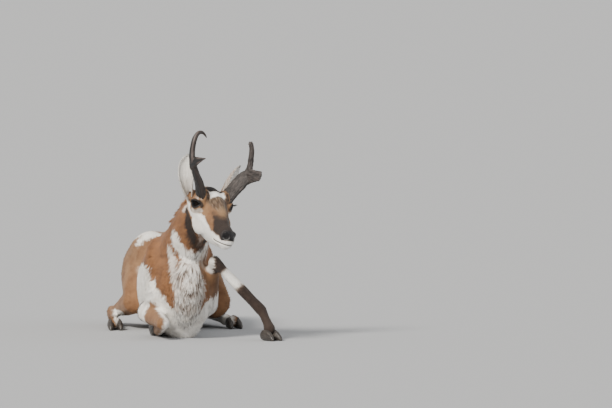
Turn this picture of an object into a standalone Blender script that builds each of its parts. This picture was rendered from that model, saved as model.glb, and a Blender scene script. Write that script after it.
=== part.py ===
"""A life-size pronghorn buck, bedded with its head turned to its left, in metres.

x runs to the animal's left, -y ahead of it and z up from the floor that it lies on.
Places on the body are measured from the brisket. Places on the head are measured in
centimetres from the point midway between the eyes: towards the nose, out to the
animal's left, and up towards the crown.
"""
import math

import bmesh
import bpy
import numpy as np
from mathutils import Matrix, Vector
from mathutils.bvhtree import BVHTree

UP = Vector((0, 0, 1))
CM = 0.01
SHARP = math.radians(50)
GAP = 0.0003                             # left between two pieces that meet
BOX_MIDDLE = Vector((0.0520, 0.2860, 0))  # middle of the animal's box, from the brisket

# How the head is held
EYES = Vector((0.054, -0.190, 0.437))
HEAD_TURN = math.radians(14.4)           # to its left
HEAD_DROP = math.radians(31.2)           # nose down
HEAD_TILT = math.radians(9.1)            # left ear down
LEVEL_LEFT = Vector((math.cos(HEAD_TURN), math.sin(HEAD_TURN), 0))
FACE = Vector((math.sin(HEAD_TURN) * math.cos(HEAD_DROP),
               -math.cos(HEAD_TURN) * math.cos(HEAD_DROP),
               -math.sin(HEAD_DROP)))
LEFT = Matrix.Rotation(-HEAD_TILT, 3, FACE) @ LEVEL_LEFT
CROWN = FACE.cross(LEFT)
HEAD_AXES = Matrix((FACE, LEFT, CROWN)).transposed()

EYE_RADIUS = 2.25
EYE_PLACE = (-0.8, 5.0, 0.1)             # ahead, out, up
EYE_RINGS = 8
LID = 0.3
LID_OPENING = (1.75, 1.3, 1.05)          # half sizes: along the lids, into the eye, across
HORN_UP = 1.2                            # depth of the horn's root in the brow

RIGHT, LEFT_SIDE = -1, 1
SIDES = {"right": RIGHT, "left": LEFT_SIDE}

COLOURS = {
    "coat": (0.50, 0.25, 0.11),
    "face": (0.62, 0.50, 0.38),
    "pale": (0.80, 0.76, 0.68),
    "horn": (0.07, 0.055, 0.045),
    "hoof": (0.03, 0.028, 0.026),
    "eye": (0.01, 0.008, 0.006),
}


def clear_scene():
    for thing in list(bpy.data.objects):
        bpy.data.objects.remove(thing)


def make_paints():
    paints = {}
    for name, colour in COLOURS.items():
        paint = bpy.data.materials.new(name)
        paint.use_nodes = True
        shader = paint.node_tree.nodes["Principled BSDF"]
        shader.inputs["Base Color"].default_value = (*colour, 1)
        shader.inputs["Roughness"].default_value = 0.1 if name == "eye" else 0.7
        paints[name] = paint
    return paints


def make_collection(name):
    group = bpy.data.collections.new(name)
    bpy.context.scene.collection.children.link(group)
    return group


def on_head(ahead, out, up, side=LEFT_SIDE):
    """The place of a point of the head, from its distances in centimetres."""
    return EYES + (FACE * ahead + LEFT * out * side + CROWN * up) * CM


def head_rows(rows, side=LEFT_SIDE):
    """Rows of ahead, out, up and sizes in centimetres, as rows for a loft."""
    return [(*on_head(*row[:3], side), *(size * CM for size in row[3:5]), *row[5:]) for row in rows]


def smooth_rows(rows, steps):
    """The rows with more rows between them, along a Catmull-Rom curve."""
    rows = [np.array(row, float) for row in rows]
    ends = [rows[0]] + rows + [rows[-1]]
    out = []
    for before, start, end, after in zip(ends, ends[1:], ends[2:], ends[3:]):
        for k in range(steps):
            t = k / steps
            bend = (2 * before - 5 * start + 4 * end - after) * t ** 2
            twist = (3 * (start - end) + after - before) * t ** 3
            out.append((2 * start + (end - before) * t + bend + twist) / 2)
    return out + [rows[-1]]


def loft(rows, sides=12, up=UP, steps=3, grow=0.0, cap=0.6):
    """A closed tube with rounded ends through rows of x, y, z, half width and half height.

    A row may go on with how far its section narrows at the crown and at the keel, and with
    how far it leans over. A cutter is the same tube grown by the gap that it leaves.
    """
    rows = smooth_rows([tuple(row) + (0,) * (8 - len(row)) for row in rows], steps)
    centres = [Vector(row[:3]) for row in rows]
    last = len(rows) - 1
    stations = []
    for i, row in enumerate(rows):
        ahead = (centres[min(i + 1, last)] - centres[max(i - 1, 0)]).normalized()
        across = ahead.cross(up).normalized()
        stations.append((centres[i], ahead, across, across.cross(ahead), row[3:], 1.0))
    round_over = ((0.5, 0.85), (0.85, 0.5))
    start, end = stations[0], stations[-1]
    depth = [cap * min(station[4][0], station[4][1]) + grow for station in (start, end)]
    before = [(start[0] - start[1] * depth[0] * reach, *start[1:5], scale)
              for scale, reach in round_over]
    beyond = [(end[0] + end[1] * depth[1] * reach, *end[1:5], scale)
              for scale, reach in reversed(round_over)]
    form = bmesh.new()
    rings = []
    for centre, _, across, rise, (width, height, crown, keel, lean), scale in before + stations + beyond:
        ring = []
        for k in range(sides):
            angle = math.tau * k / sides
            high = math.sin(angle)
            narrow = 1 - (crown if high > 0 else keel) * high * high
            sideways = (width + grow) * math.cos(angle) * narrow * scale
            upward = (height + grow) * high * scale
            turned = (sideways * math.cos(lean) + upward * math.sin(lean),
                      upward * math.cos(lean) - sideways * math.sin(lean))
            ring.append(form.verts.new(centre + across * turned[0] + rise * turned[1]))
        rings.append(ring)
    for ring, after in zip(rings, rings[1:]):
        for k in range(sides):
            following = (k + 1) % sides
            form.faces.new((ring[k], ring[following], after[following], after[k]))
    poles = (start[0] - start[1] * depth[0], end[0] + end[1] * depth[1])
    for ring, pole in zip((rings[0], rings[-1]), poles):
        tip = form.verts.new(pole)
        for k in range(sides):
            form.faces.new((ring[k], ring[(k + 1) % sides], tip))
    bmesh.ops.recalc_face_normals(form, faces=form.faces)
    return form


def blob(centre, radii, axes=Matrix.Identity(3), grow=0.0, rings=12):
    """An ellipsoid."""
    form = bmesh.new()
    bmesh.ops.create_uvsphere(form, u_segments=rings + 4, v_segments=rings, radius=1.0)
    size = Matrix.Diagonal([radius + grow for radius in radii]).to_4x4()
    form.transform(Matrix.Translation(centre) @ axes.to_4x4() @ size)
    return form


def head_blob(ahead, out, up, radii, side=LEFT_SIDE, axes=HEAD_AXES, rings=12):
    return blob(on_head(ahead, out, up, side), [radius * CM for radius in radii], axes, rings=rings)


def block(low, high):
    """A box between two corners."""
    low, high = Vector(low), Vector(high)
    form = bmesh.new()
    bmesh.ops.create_cube(form, size=1.0)
    size = Matrix.Diagonal(high - low).to_4x4()
    form.transform(Matrix.Translation((low + high) / 2) @ size)
    return form


def to_mesh(forms, name):
    """One mesh of all the forms, which are used up."""
    mesh = bpy.data.meshes.new(name)
    whole = bmesh.new()
    for form in forms:
        form.to_mesh(mesh)
        form.free()
        whole.from_mesh(mesh)
    bmesh.ops.triangulate(whole, faces=whole.faces)
    whole.to_mesh(mesh)
    whole.free()
    return mesh


def piece(name, forms, paint, group):
    thing = bpy.data.objects.new(name, to_mesh(forms, name))
    thing.data.materials.append(paint)
    group.objects.link(thing)
    return thing


def settle(thing):
    """Makes what the modifiers show the object's own mesh, in triangles."""
    seen = thing.evaluated_get(bpy.context.evaluated_depsgraph_get())
    mesh = bpy.data.meshes.new_from_object(seen)
    thing.modifiers.clear()
    whole = bmesh.new()
    whole.from_mesh(mesh)
    bmesh.ops.triangulate(whole, faces=whole.faces)
    whole.to_mesh(mesh)
    whole.free()
    thing.data = mesh


def fuse(thing, voxel, softening, triangles):
    """Melts the forms of an object into one skin of about so many triangles."""
    remesh = thing.modifiers.new("skin", "REMESH")
    remesh.mode = "VOXEL"
    remesh.voxel_size = voxel
    soften = thing.modifiers.new("soften", "SMOOTH")
    soften.iterations = softening
    settle(thing)
    coarsen = thing.modifiers.new("coarsen", "DECIMATE")
    coarsen.ratio = triangles / len(thing.data.polygons)
    settle(thing)


def keep_largest(thing):
    """Drops every loose scrap of a mesh but its largest closed surface."""
    whole = bmesh.new()
    whole.from_mesh(thing.data)
    left = set(whole.verts)
    islands = []
    while left:
        reached = [left.pop()]
        island = []
        while reached:
            vertex = reached.pop()
            island.append(vertex)
            for edge in vertex.link_edges:
                other = edge.other_vert(vertex)
                if other in left:
                    left.remove(other)
                    reached.append(other)
        islands.append(island)
    islands.sort(key=len)
    scraps = [vertex for island in islands[:-1] for vertex in island]
    bmesh.ops.delete(whole, geom=scraps, context="VERTS")
    whole.to_mesh(thing.data)
    whole.free()


def combine(thing, forms, operation="DIFFERENCE", solver="EXACT"):
    """Cuts the forms off an object, joins them to it or keeps what they share."""
    tool = bpy.data.objects.new("cutter", to_mesh(forms, "cutter"))
    tool.display_type = "WIRE"
    tool.hide_render = True
    bpy.context.scene.collection.objects.link(tool)
    step = thing.modifiers.new("combine", "BOOLEAN")
    step.operation = operation
    step.solver = solver
    step.object = tool
    settle(thing)
    bpy.data.objects.remove(tool)
    keep_largest(thing)


def give_way(thing, other):
    """Cuts an object clear of another by the gap."""
    form = bmesh.new()
    form.from_mesh(other.data)
    form.normal_update()
    for vertex in form.verts:
        vertex.co += vertex.normal * GAP
    combine(thing, [form], solver="MANIFOLD")


def between(start, end, profile):
    """Rows for a loft from one joint to the next, from shares of the way and half sizes."""
    return [(*start.lerp(end, share), *sizes) for share, *sizes in profile]


# The trunk, from the brisket back: x, y, top, underside, half width, crown, keel, lean
TRUNK = (
    (0.000, -0.030, 0.210, 0.030, 0.050, 0.1, 0.2, 0.00),
    (0.000, 0.010, 0.285, -0.010, 0.082, 0.2, 0.25, 0.00),
    (0.000, 0.080, 0.325, -0.018, 0.102, 0.3, 0.3, 0.00),
    (0.000, 0.150, 0.346, -0.018, 0.110, 0.4, 0.3, 0.00),
    (0.004, 0.230, 0.358, -0.018, 0.114, 0.4, 0.25, 0.02),
    (0.016, 0.320, 0.352, -0.018, 0.120, 0.3, 0.15, 0.06),
    (0.030, 0.420, 0.339, -0.020, 0.125, 0.2, 0.1, 0.12),
    (0.046, 0.520, 0.334, -0.018, 0.116, 0.2, 0.1, 0.18),
    (0.056, 0.620, 0.334, -0.012, 0.114, 0.2, 0.1, 0.22),
    (0.060, 0.720, 0.320, -0.006, 0.108, 0.2, 0.1, 0.22),
    (0.060, 0.800, 0.286, 0.010, 0.088, 0.1, 0.1, 0.20),
    (0.060, 0.850, 0.225, 0.050, 0.050, 0.1, 0.1, 0.20),
)

# The neck, from inside the head to inside the chest
NECK = (
    (0.037, -0.135, 0.430, 0.046, 0.054, 0.1, 0.2),
    (0.026, -0.088, 0.403, 0.056, 0.068, 0.2, 0.3),
    (0.014, -0.030, 0.362, 0.063, 0.084, 0.2, 0.3),
    (0.006, 0.045, 0.300, 0.074, 0.108, 0.3, 0.3),
    (0.000, 0.120, 0.235, 0.090, 0.125, 0.3, 0.3),
)

# Where the neck is parted from the chest: a point of the cut and the way the neck goes
NECK_CUT = Vector((0.003, 0.058, 0.300))
NECK_WAY = Vector((0.05, -0.66, 0.75)).normalized()

# Muscles under the skin of the trunk: place, half sizes
MUSCLES = {
    "shoulder_right": ((-0.068, 0.150, 0.200), (0.050, 0.095, 0.125)),
    "shoulder_left": ((0.066, 0.115, 0.195), (0.046, 0.090, 0.125)),
    "arm_right": ((-0.078, 0.110, 0.130), (0.042, 0.085, 0.080)),
    "arm_left": ((0.072, 0.080, 0.140), (0.040, 0.070, 0.080)),
    "haunch_right": ((-0.004, 0.650, 0.200), (0.092, 0.165, 0.116)),
    "haunch_left": ((0.120, 0.670, 0.150), (0.088, 0.155, 0.125)),
    "croup": ((0.068, 0.740, 0.200), (0.085, 0.110, 0.105)),
}

# The part of the trunk that each upper limb takes for its own node: place, half sizes
LIMB_ROOTS = {
    "shoulder_right": ((-0.135, 0.140, 0.205), (0.090, 0.105, 0.150)),
    "shoulder_left": ((0.135, 0.105, 0.195), (0.092, 0.100, 0.150)),
    "thigh_right": ((-0.130, 0.630, 0.140), (0.125, 0.205, 0.195)),
    "thigh_left": ((0.245, 0.640, 0.120), (0.125, 0.195, 0.185)),
}

THIGHS = {
    "right": ((-0.015, 0.700, 0.190), (-0.080, 0.500, 0.105)),
    "left": ((0.130, 0.700, 0.160), (0.178, 0.510, 0.090)),
}
THIGH = ((0.0, 0.085, 0.100), (0.35, 0.078, 0.095), (0.7, 0.062, 0.078), (1.0, 0.046, 0.056))

# The joints of each leg, from the elbow or stifle down to the top of the hoof,
# then the way that the toes point and the way that their fronts face
LEGS = {
    "foreleg_right": {
        "joints": ((-0.100, 0.155, 0.085), (-0.088, -0.066, 0.056), (-0.070, 0.130, 0.024),
                   (-0.066, 0.186, 0.022)),
        "toes": ((0.05, 1.0, 0.0), (0.0, 0.0, -1.0)),
        "sole": 0.036,
    },
    "foreleg_left": {
        "joints": ((0.088, 0.120, 0.100), (0.083, -0.050, 0.253), (0.231, -0.085, 0.094),
                   (0.249, -0.112, 0.046)),
        "toes": ((0.45, -0.89, 0.0), (0.0, 0.0, 1.0)),
        "sole": 0.0,
    },
    "hindleg_right": {
        "joints": ((-0.085, 0.490, 0.100), (-0.118, 0.785, 0.040), (-0.152, 0.550, 0.024),
                   (-0.157, 0.497, 0.026)),
        "toes": ((-0.05, -1.0, 0.0), (0.0, 0.0, 1.0)),
        "sole": 0.0,
    },
    "hindleg_left": {
        "joints": ((0.186, 0.500, 0.085), (0.178, 0.790, 0.038), (0.226, 0.560, 0.024),
                   (0.236, 0.507, 0.026)),
        "toes": ((0.10, -1.0, 0.0), (0.0, 0.0, 1.0)),
        "sole": 0.0,
    },
}

# Half sizes along each bone: share of the way, across, fore and aft
UPPER = {
    "foreleg": ((0.0, 0.034, 0.042), (0.3, 0.030, 0.038), (0.65, 0.023, 0.027), (0.9, 0.020, 0.022),
                (1.0, 0.021, 0.022)),
    "hindleg": ((0.0, 0.042, 0.050), (0.3, 0.036, 0.044), (0.6, 0.024, 0.031), (0.85, 0.017, 0.022),
                (1.0, 0.018, 0.021)),
}
LOWER = {
    "foreleg": ((0.0, 0.018, 0.020), (0.08, 0.0185, 0.0205), (0.22, 0.0150, 0.0165), (0.40, 0.0175, 0.0185),
                (0.60, 0.0185, 0.0200), (0.80, 0.0175, 0.0190), (0.94, 0.0195, 0.0210), (1.0, 0.0190, 0.0200)),
    "hindleg": ((0.0, 0.020, 0.026), (0.10, 0.0190, 0.025), (0.25, 0.0145, 0.017), (0.55, 0.0140, 0.015),
                (0.82, 0.0150, 0.016), (0.95, 0.0185, 0.020), (1.0, 0.0180, 0.019)),
}
PASTERN = ((0.0, 0.0175, 0.0185), (0.5, 0.0155, 0.0160), (1.0, 0.0175, 0.0170))

# A toe of the hoof along its length: distance ahead of the top of the hoof, half width, height
TOE = ((-0.020, 0.0085, 0.026), (-0.008, 0.0115, 0.038), (0.008, 0.0120, 0.040), (0.024, 0.0115, 0.031),
       (0.040, 0.0080, 0.018), (0.047, 0.0040, 0.008))
TOE_SPACING = 0.0128
TOE_SPLAY = math.radians(5)

# The head along the line from eyes to nose, in centimetres:
# ahead, top, underside, half width, crown, keel
SKULL = (
    (-10.8, 0.3, -5.7, 3.2, 0.2, 0.3),
    (-8.8, 2.4, -7.6, 4.5, 0.2, 0.3),
    (-5.0, 4.2, -9.4, 5.2, 0.1, 0.4),
    (-1.0, 4.6, -10.2, 5.3, 0.1, 0.5),
    (3.0, 4.2, -10.4, 5.0, 0.2, 0.5),
    (6.0, 3.5, -9.8, 4.3, 0.3, 0.5),
    (9.0, 2.5, -8.7, 3.5, 0.35, 0.5),
    (12.0, 1.7, -7.4, 2.85, 0.3, 0.45),
    (14.2, 1.4, -6.5, 2.65, 0.25, 0.4),
    (15.9, 0.9, -5.9, 2.4, 0.2, 0.35),
    (17.1, 0.1, -5.2, 1.8, 0.2, 0.3),
)
# Forms on the skull: ahead, out, up, half sizes; those off the middle are on both sides
SKULL_FORMS = (
    (-0.8, 4.7, 0.2, (3.2, 2.2, 2.9)),     # orbit
    (-1.6, 4.0, 3.0, (3.0, 2.2, 1.9)),     # brow that carries the horn
    (1.4, 3.3, -5.6, (4.8, 1.6, 3.6)),     # cheek
    (4.8, 3.3, -1.6, (4.0, 1.2, 1.6)),     # bone below the eye
    (-8.0, 4.2, -2.4, (2.2, 1.6, 2.4)),    # root of the ear
    (15.6, 0.0, -0.8, (2.0, 2.35, 1.6)),   # nose
    (15.6, 1.5, -0.5, (1.5, 1.1, 1.3)),    # wing of the nostril
    (15.2, 0.0, -4.6, (2.2, 1.9, 1.3)),    # chin
)
# The line of the mouth from the corner to the front: ahead, out, up
MOUTH = ((11.8, 2.85, -4.7), (13.6, 2.8, -4.35), (15.3, 2.5, -3.8), (16.9, 1.7, -3.3), (17.7, 0.75, -3.05))
LIP = 0.45
MOUTH_OPENING = 0.10
MOUTH_DEPTH = 0.70
NOSTRIL = (16.5, 1.7, -0.6)
NOSTRIL_SIZE = (1.5, 1.1, 0.75)
NOSTRIL_SLANT = math.radians(-35)

# Rows of each horn: ahead, out, up, half thickness, half breadth
HORNS = {
    "right": {
        "beam": ((-1.2, 4.2, HORN_UP, 1.6, 2.5), (-1.75, 5.0, 3.2, 1.55, 2.7), (-2.3, 6.8, 6.6, 1.35, 2.4),
                 (-3.4, 9.2, 10.0, 1.1, 2.0), (-4.5, 11.2, 13.5, 0.95, 1.5), (-6.0, 11.75, 16.4, 0.85, 1.05),
                 (-7.5, 11.6, 19.4, 0.8, 0.9), (-8.6, 10.6, 21.1, 0.66, 0.72), (-9.0, 9.2, 21.5, 0.52, 0.56),
                 (-8.7, 7.9, 20.9, 0.36, 0.4), (-8.2, 7.2, 20.1, 0.16, 0.18)),
        "prong": ((-4.9, 11.0, 12.2, 0.8, 2.3), (-2.9, 11.0, 13.9, 0.7, 1.7), (-0.9, 10.8, 16.0, 0.45, 0.9),
                  (1.2, 10.4, 18.1, 0.14, 0.2)),
    },
    "left": {
        "beam": ((-1.2, 4.2, HORN_UP, 1.6, 2.6), (-1.8, 5.0, 3.4, 1.5, 2.8), (-2.6, 6.6, 6.2, 1.25, 2.9),
                 (-3.3, 8.3, 8.8, 1.05, 2.9), (-4.0, 9.8, 10.9, 1.0, 2.3), (-4.7, 10.2, 12.6, 0.9, 1.35),
                 (-5.9, 10.1, 15.4, 0.8, 0.95), (-7.2, 9.8, 18.3, 0.8, 0.9), (-8.2, 9.0, 20.3, 0.68, 0.78)),
        "prong": ((-4.4, 9.6, 9.9, 0.95, 2.4), (-2.2, 9.9, 11.4, 0.85, 2.0), (0.2, 10.4, 13.2, 0.7, 1.7),
                  (1.9, 10.8, 14.6, 0.45, 1.5)),
    },
}

# The line of each ear from its root to its tip, and the way its cup faces: ahead, out, up
EARS = {
    "right": {"line": ((-7.2, 4.4, -2.6), (-8.3, 6.2, 0.7), (-10.2, 7.6, 4.6), (-11.8, 8.3, 7.8),
                       (-12.7, 8.2, 10.4)),
              "faces": (0.75, 0.55, 0.25)},
    "left": {"line": ((-7.2, 4.4, -2.6), (-8.2, 6.6, 0.6), (-9.8, 8.6, 3.8), (-11.3, 10.3, 6.6),
                      (-12.3, 11.4, 8.9)),
             "faces": (0.72, 0.62, 0.20)},
}
# The ear's half breadth along its curve, and how far round it curls, from root to tip
EAR_BREADTH = (2.4, 3.2, 3.5, 2.5, 0.35)
EAR_CURL = (150, 112, 80, 62, 50)
EAR_THICKNESS = 0.32
EAR_COLUMNS = 6

TAIL = ((0.060, 0.842, 0.232, 0.026, 0.022), (0.064, 0.872, 0.205, 0.026, 0.021),
        (0.070, 0.888, 0.160, 0.022, 0.016), (0.074, 0.890, 0.118, 0.012, 0.009))

# The mane along the nape, from the crown back: the line of its middle, and its locks
NAPE = ((0.031, -0.108, 0.478), (0.026, -0.078, 0.468), (0.020, -0.045, 0.450), (0.014, -0.012, 0.428),
        (0.010, 0.020, 0.406), (0.007, 0.050, 0.386), (0.005, 0.074, 0.372))
NAPE_STEPS = 2
LOCK_LENGTH = 0.060
LOCK_BREADTH = 0.0090                    # half its greatest breadth
LOCK_THICKNESS = 0.0030                  # half
LOCK_SPACING = 0.0125                    # across the nape
LOCK_ROOT = 0.006                        # its depth in the neck
LOCK_RISE = 0.010                        # of its tip over the neck
LOCK_TAPER = ((0.0, 0.7), (0.3, 1.0), (0.6, 0.85), (0.85, 0.45))
LOCK_SEED = 5


def trunk_forms():
    rows = [(x, y, (top + low) / 2, width, (top - low) / 2, crown, keel, lean)
            for x, y, top, low, width, crown, keel, lean in TRUNK]
    forms = [loft(rows, sides=32), loft(NECK, sides=24)]
    for place, sizes in MUSCLES.values():
        forms.append(blob(Vector(place), sizes))
    for hip, stifle in THIGHS.values():
        forms.append(loft(between(Vector(hip), Vector(stifle), THIGH), sides=18))
    return forms


def head_forms():
    rows = head_rows([(ahead, 0, (top + low) / 2, width, (top - low) / 2, crown, keel)
                      for ahead, top, low, width, crown, keel in SKULL])
    forms = [loft(rows, sides=28, up=CROWN)]
    for ahead, out, up, sizes in SKULL_FORMS:
        for side in SIDES.values() if out else (LEFT_SIDE,):
            forms.append(head_blob(ahead, out, up, sizes, side))
    for rise in (LIP, -LIP):
        for side in SIDES.values():
            line = [(ahead - 0.3, out - 0.4, up + rise, LIP, LIP) for ahead, out, up in MOUTH]
            forms.append(loft(head_rows(line, side), up=CROWN))
    return forms


def eye_axes(side):
    """The way that an eye looks, the line of its lids, and up across them."""
    looks = (FACE * 0.32 + LEFT * 0.94 * side + CROWN * 0.04).normalized()
    along = (FACE * 0.85 - LEFT * 0.27 * side + CROWN * 0.40).normalized()
    along = (along - looks * along.dot(looks)).normalized()
    return Matrix((along, looks, along.cross(looks))).transposed()


def add_lids(head):
    """Sets a lid over each eye, with an opening, and a socket for the ball."""
    for side in SIDES.values():
        axes = eye_axes(side)
        centre = on_head(*EYE_PLACE, side)
        radius = EYE_RADIUS * CM
        combine(head, [blob(centre, [radius + LID * CM] * 3, axes, rings=8)], "UNION")
        opening = [size * CM for size in LID_OPENING]
        combine(head, [blob(centre + axes.col[1] * radius * 1.05, opening, axes, rings=6)])
        combine(head, [blob(centre, [radius] * 3, axes, grow=GAP, rings=EYE_RINGS)])


def cut_mouth(head):
    for side in SIDES.values():
        line = [(ahead, out, up, MOUTH_DEPTH, MOUTH_OPENING) for ahead, out, up in MOUTH]
        line.append((17.9, -0.5, -3.0, MOUTH_DEPTH, MOUTH_OPENING))
        combine(head, [loft(head_rows(line, side), sides=6, up=CROWN, steps=1)])
    for side in SIDES.values():
        slant = Matrix.Rotation(NOSTRIL_SLANT * side, 3, FACE) @ HEAD_AXES
        nostril = head_blob(*NOSTRIL, NOSTRIL_SIZE, side, slant, rings=6)
        combine(head, [nostril])


def make_head(paint, group):
    head = piece("head", head_forms(), paint, group)
    fuse(head, 0.0031, 6, 1900)
    add_lids(head)
    cut_mouth(head)
    return head


def make_eyes(paint, group):
    for name, side in SIDES.items():
        centre = on_head(*EYE_PLACE, side)
        piece("eye_" + name, [blob(centre, [EYE_RADIUS * CM] * 3, eye_axes(side), rings=EYE_RINGS)], paint, group)


def make_horns(head, paint, group):
    for name, side in SIDES.items():
        beam = loft(head_rows(HORNS[name]["beam"], side), sides=10, up=FACE, steps=2)
        prong = loft(head_rows(HORNS[name]["prong"], side), sides=8, up=FACE, steps=1)
        horn = piece("horn_" + name, [beam], paint, group)
        combine(horn, [prong], "UNION")
        give_way(horn, head)


def ear_form(name, side):
    """A cupped shell, from a sheet that curls round the ear's line."""
    breadths = EAR_BREADTH
    rows = [(*on_head(*place, side), breadth * CM, math.radians(curl))
            for place, breadth, curl in zip(EARS[name]["line"], breadths, EAR_CURL)]
    rows = smooth_rows(rows, 3)
    ahead, out, up = EARS[name]["faces"]
    faces = (FACE * ahead + LEFT * out * side + CROWN * up).normalized()
    sheet = bmesh.new()
    grid = []
    for i, row in enumerate(rows):
        centre = Vector(row[:3])
        way = (Vector(rows[min(i + 1, len(rows) - 1)][:3]) - Vector(rows[max(i - 1, 0)][:3])).normalized()
        across = way.cross(faces).normalized()
        front = across.cross(way)
        arc, curl = row[3], row[4]
        radius = arc / curl
        line = []
        for k in range(EAR_COLUMNS + 1):
            angle = curl * (2 * k / EAR_COLUMNS - 1)
            place = across * radius * math.sin(angle) + front * radius * (1 - math.cos(angle))
            line.append(sheet.verts.new(centre + place - front * radius * 0.5))
        grid.append(line)
    for line, after in zip(grid, grid[1:]):
        for k in range(EAR_COLUMNS):
            sheet.faces.new((line[k], line[k + 1], after[k + 1], after[k]))
    return sheet


def make_ears(head, paint, group):
    for name, side in SIDES.items():
        mesh = bpy.data.meshes.new("ear_" + name)
        sheet = ear_form(name, side)
        sheet.to_mesh(mesh)
        sheet.free()
        ear = bpy.data.objects.new("ear_" + name, mesh)
        ear.data.materials.append(paint)
        group.objects.link(ear)
        shell = ear.modifiers.new("thickness", "SOLIDIFY")
        shell.thickness = EAR_THICKNESS * CM
        shell.offset = 0
        settle(ear)
        give_way(ear, head)


def toe_forms(leg, grow=0.0):
    """The two toes of a hoof."""
    ahead, front = (Vector(way).normalized() for way in leg["toes"])
    top = Vector(leg["joints"][3])
    ground = Vector((top.x, top.y, leg["sole"]))
    forms = []
    for side in SIDES.values():
        way = Matrix.Rotation(TOE_SPLAY * side, 3, UP) @ ahead
        across = UP.cross(way) * side
        rows = []
        for reach, width, height in TOE:
            centre = ground + across * TOE_SPACING + way * reach + front * (height / 2 - 0.001)
            rows.append((*centre, width, height / 2))
        forms.append(loft(rows, sides=7, up=front, steps=1, grow=grow))
    return forms


def leg_forms(name, grow=0.0):
    """The forms of a leg below the trunk, lowest first, each a function of a gap."""
    leg = LEGS[name]
    joints = [Vector(joint) for joint in leg["joints"]]
    kind = name.split("_")[0]
    lower = between(joints[1], joints[2], LOWER[kind])
    upper = between(joints[0], joints[1], UPPER[kind])
    pastern = between(joints[2], joints[3], PASTERN)
    hint = Vector((0.2, 0.9, 0.4))
    return {
        name + "_hoof_right": toe_forms(leg, grow)[0],
        name + "_hoof_left": toe_forms(leg, grow)[1],
        name + "_pastern": loft(pastern, sides=8, up=hint, steps=1, grow=grow),
        name + "_cannon": loft(lower, sides=8, up=hint, steps=1, grow=grow),
        name + "_shank" if kind == "hindleg" else name + "_forearm":
            loft(upper, sides=10, up=hint, steps=1, grow=grow),
    }


def near(one, other, reach=0.002):
    """Whether the boxes of two forms come near each other."""
    boxes = []
    for form in (one, other):
        places = np.array([vertex.co[:] for vertex in form.verts])
        boxes.append((places.min(axis=0) - reach, places.max(axis=0) + reach))
    return bool((boxes[0][0] < boxes[1][1]).all() and (boxes[1][0] < boxes[0][1]).all())


def make_legs(paints, group):
    """The legs below the trunk; each piece gives way to those before it."""
    legs = []
    for name in LEGS:
        plain, cutters = leg_forms(name), leg_forms(name, GAP)
        made = []
        for part_name, form in plain.items():
            meeting = [other for other in made if near(cutters[other], form)]
            paint = paints["hoof" if "hoof" in part_name else "pale"]
            thing = piece(part_name, [form], paint, group)
            for other in meeting:
                combine(thing, [cutters[other].copy()])
            made.append(part_name)
            legs.append((thing, cutters[part_name]))
    return legs


def part_trunk(trunk, legs, head, paints, group):
    """Parts the trunk into neck, torso and the upper limbs, and clears it of what it meets."""
    for _, cutter in legs:
        combine(trunk, [cutter])
    give_way(trunk, head)
    axes = NECK_WAY.to_track_quat("Z", "Y").to_matrix()
    half = 1.0
    spans = {"neck": trunk.copy(), "torso": trunk}
    neck = spans["neck"]
    neck.data = trunk.data.copy()
    neck.name = "neck"
    group.objects.link(neck)
    behind = block((-half, -half, -2 * half), (half, half, 0))
    behind.transform(Matrix.Translation(NECK_CUT) @ axes.to_4x4())
    combine(neck, [behind])
    before = block((-half, -half, -GAP), (half, half, 2 * half))
    before.transform(Matrix.Translation(NECK_CUT) @ axes.to_4x4())
    combine(trunk, [before])
    for name, (place, sizes) in LIMB_ROOTS.items():
        limb = trunk.copy()
        limb.data = trunk.data.copy()
        limb.name = name
        group.objects.link(limb)
        combine(limb, [blob(Vector(place), sizes, rings=8)], "INTERSECT")
        combine(trunk, [blob(Vector(place), sizes, grow=GAP, rings=8)])
    return neck


def lock_form(root, way, rise, length):
    """A flat lock that leaves the skin, bends back along its lie and tapers to a point."""
    across = way.cross(rise).normalized()

    def spine(share):
        height = (LOCK_ROOT + LOCK_RISE) * math.sin(share * math.pi / 2) - LOCK_ROOT
        return root + way * length * share + rise * height

    form = bmesh.new()
    rings = []
    for share, width in LOCK_TAPER:
        sizes = (across * LOCK_BREADTH * width, rise * LOCK_THICKNESS * width)
        places = (sizes[0], sizes[1], -sizes[0], -sizes[1])
        rings.append([form.verts.new(spine(share) + place) for place in places])
    tip = form.verts.new(spine(1.0))
    form.faces.new(rings[0])
    for ring, after in zip(rings, rings[1:]):
        for k in range(4):
            following = (k + 1) % 4
            form.faces.new((ring[k], ring[following], after[following], after[k]))
    for k in range(4):
        form.faces.new((rings[-1][k], rings[-1][(k + 1) % 4], tip))
    bmesh.ops.recalc_face_normals(form, faces=form.faces)
    return form


def mane_locks(trunk):
    """The mane's locks in rows across the nape, set in turn on and beside its middle."""
    draw = np.random.default_rng(LOCK_SEED)
    surface = bmesh.new()
    surface.from_mesh(trunk.data)
    tree = BVHTree.FromBMesh(surface)
    surface.free()
    line = [Vector(row) for row in smooth_rows(NAPE, NAPE_STEPS)]
    forms = []
    for number, (place, after) in enumerate(zip(line, line[1:])):
        ahead = (after - place).normalized()
        across = ahead.cross(UP).normalized()
        for offset in ((-1, 0, 1), (-0.5, 0.5))[number % 2]:
            wanted = place + across * (offset * LOCK_SPACING + draw.normal() * 0.001)
            root, rise, _, _ = tree.find_nearest(wanted)
            way = ahead + across * (offset * 0.18 + draw.normal() * 0.06)
            way = (way - rise * way.dot(rise)).normalized()
            forms.append(lock_form(root, way, rise, LOCK_LENGTH * draw.uniform(0.85, 1.1)))
    return forms


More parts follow.
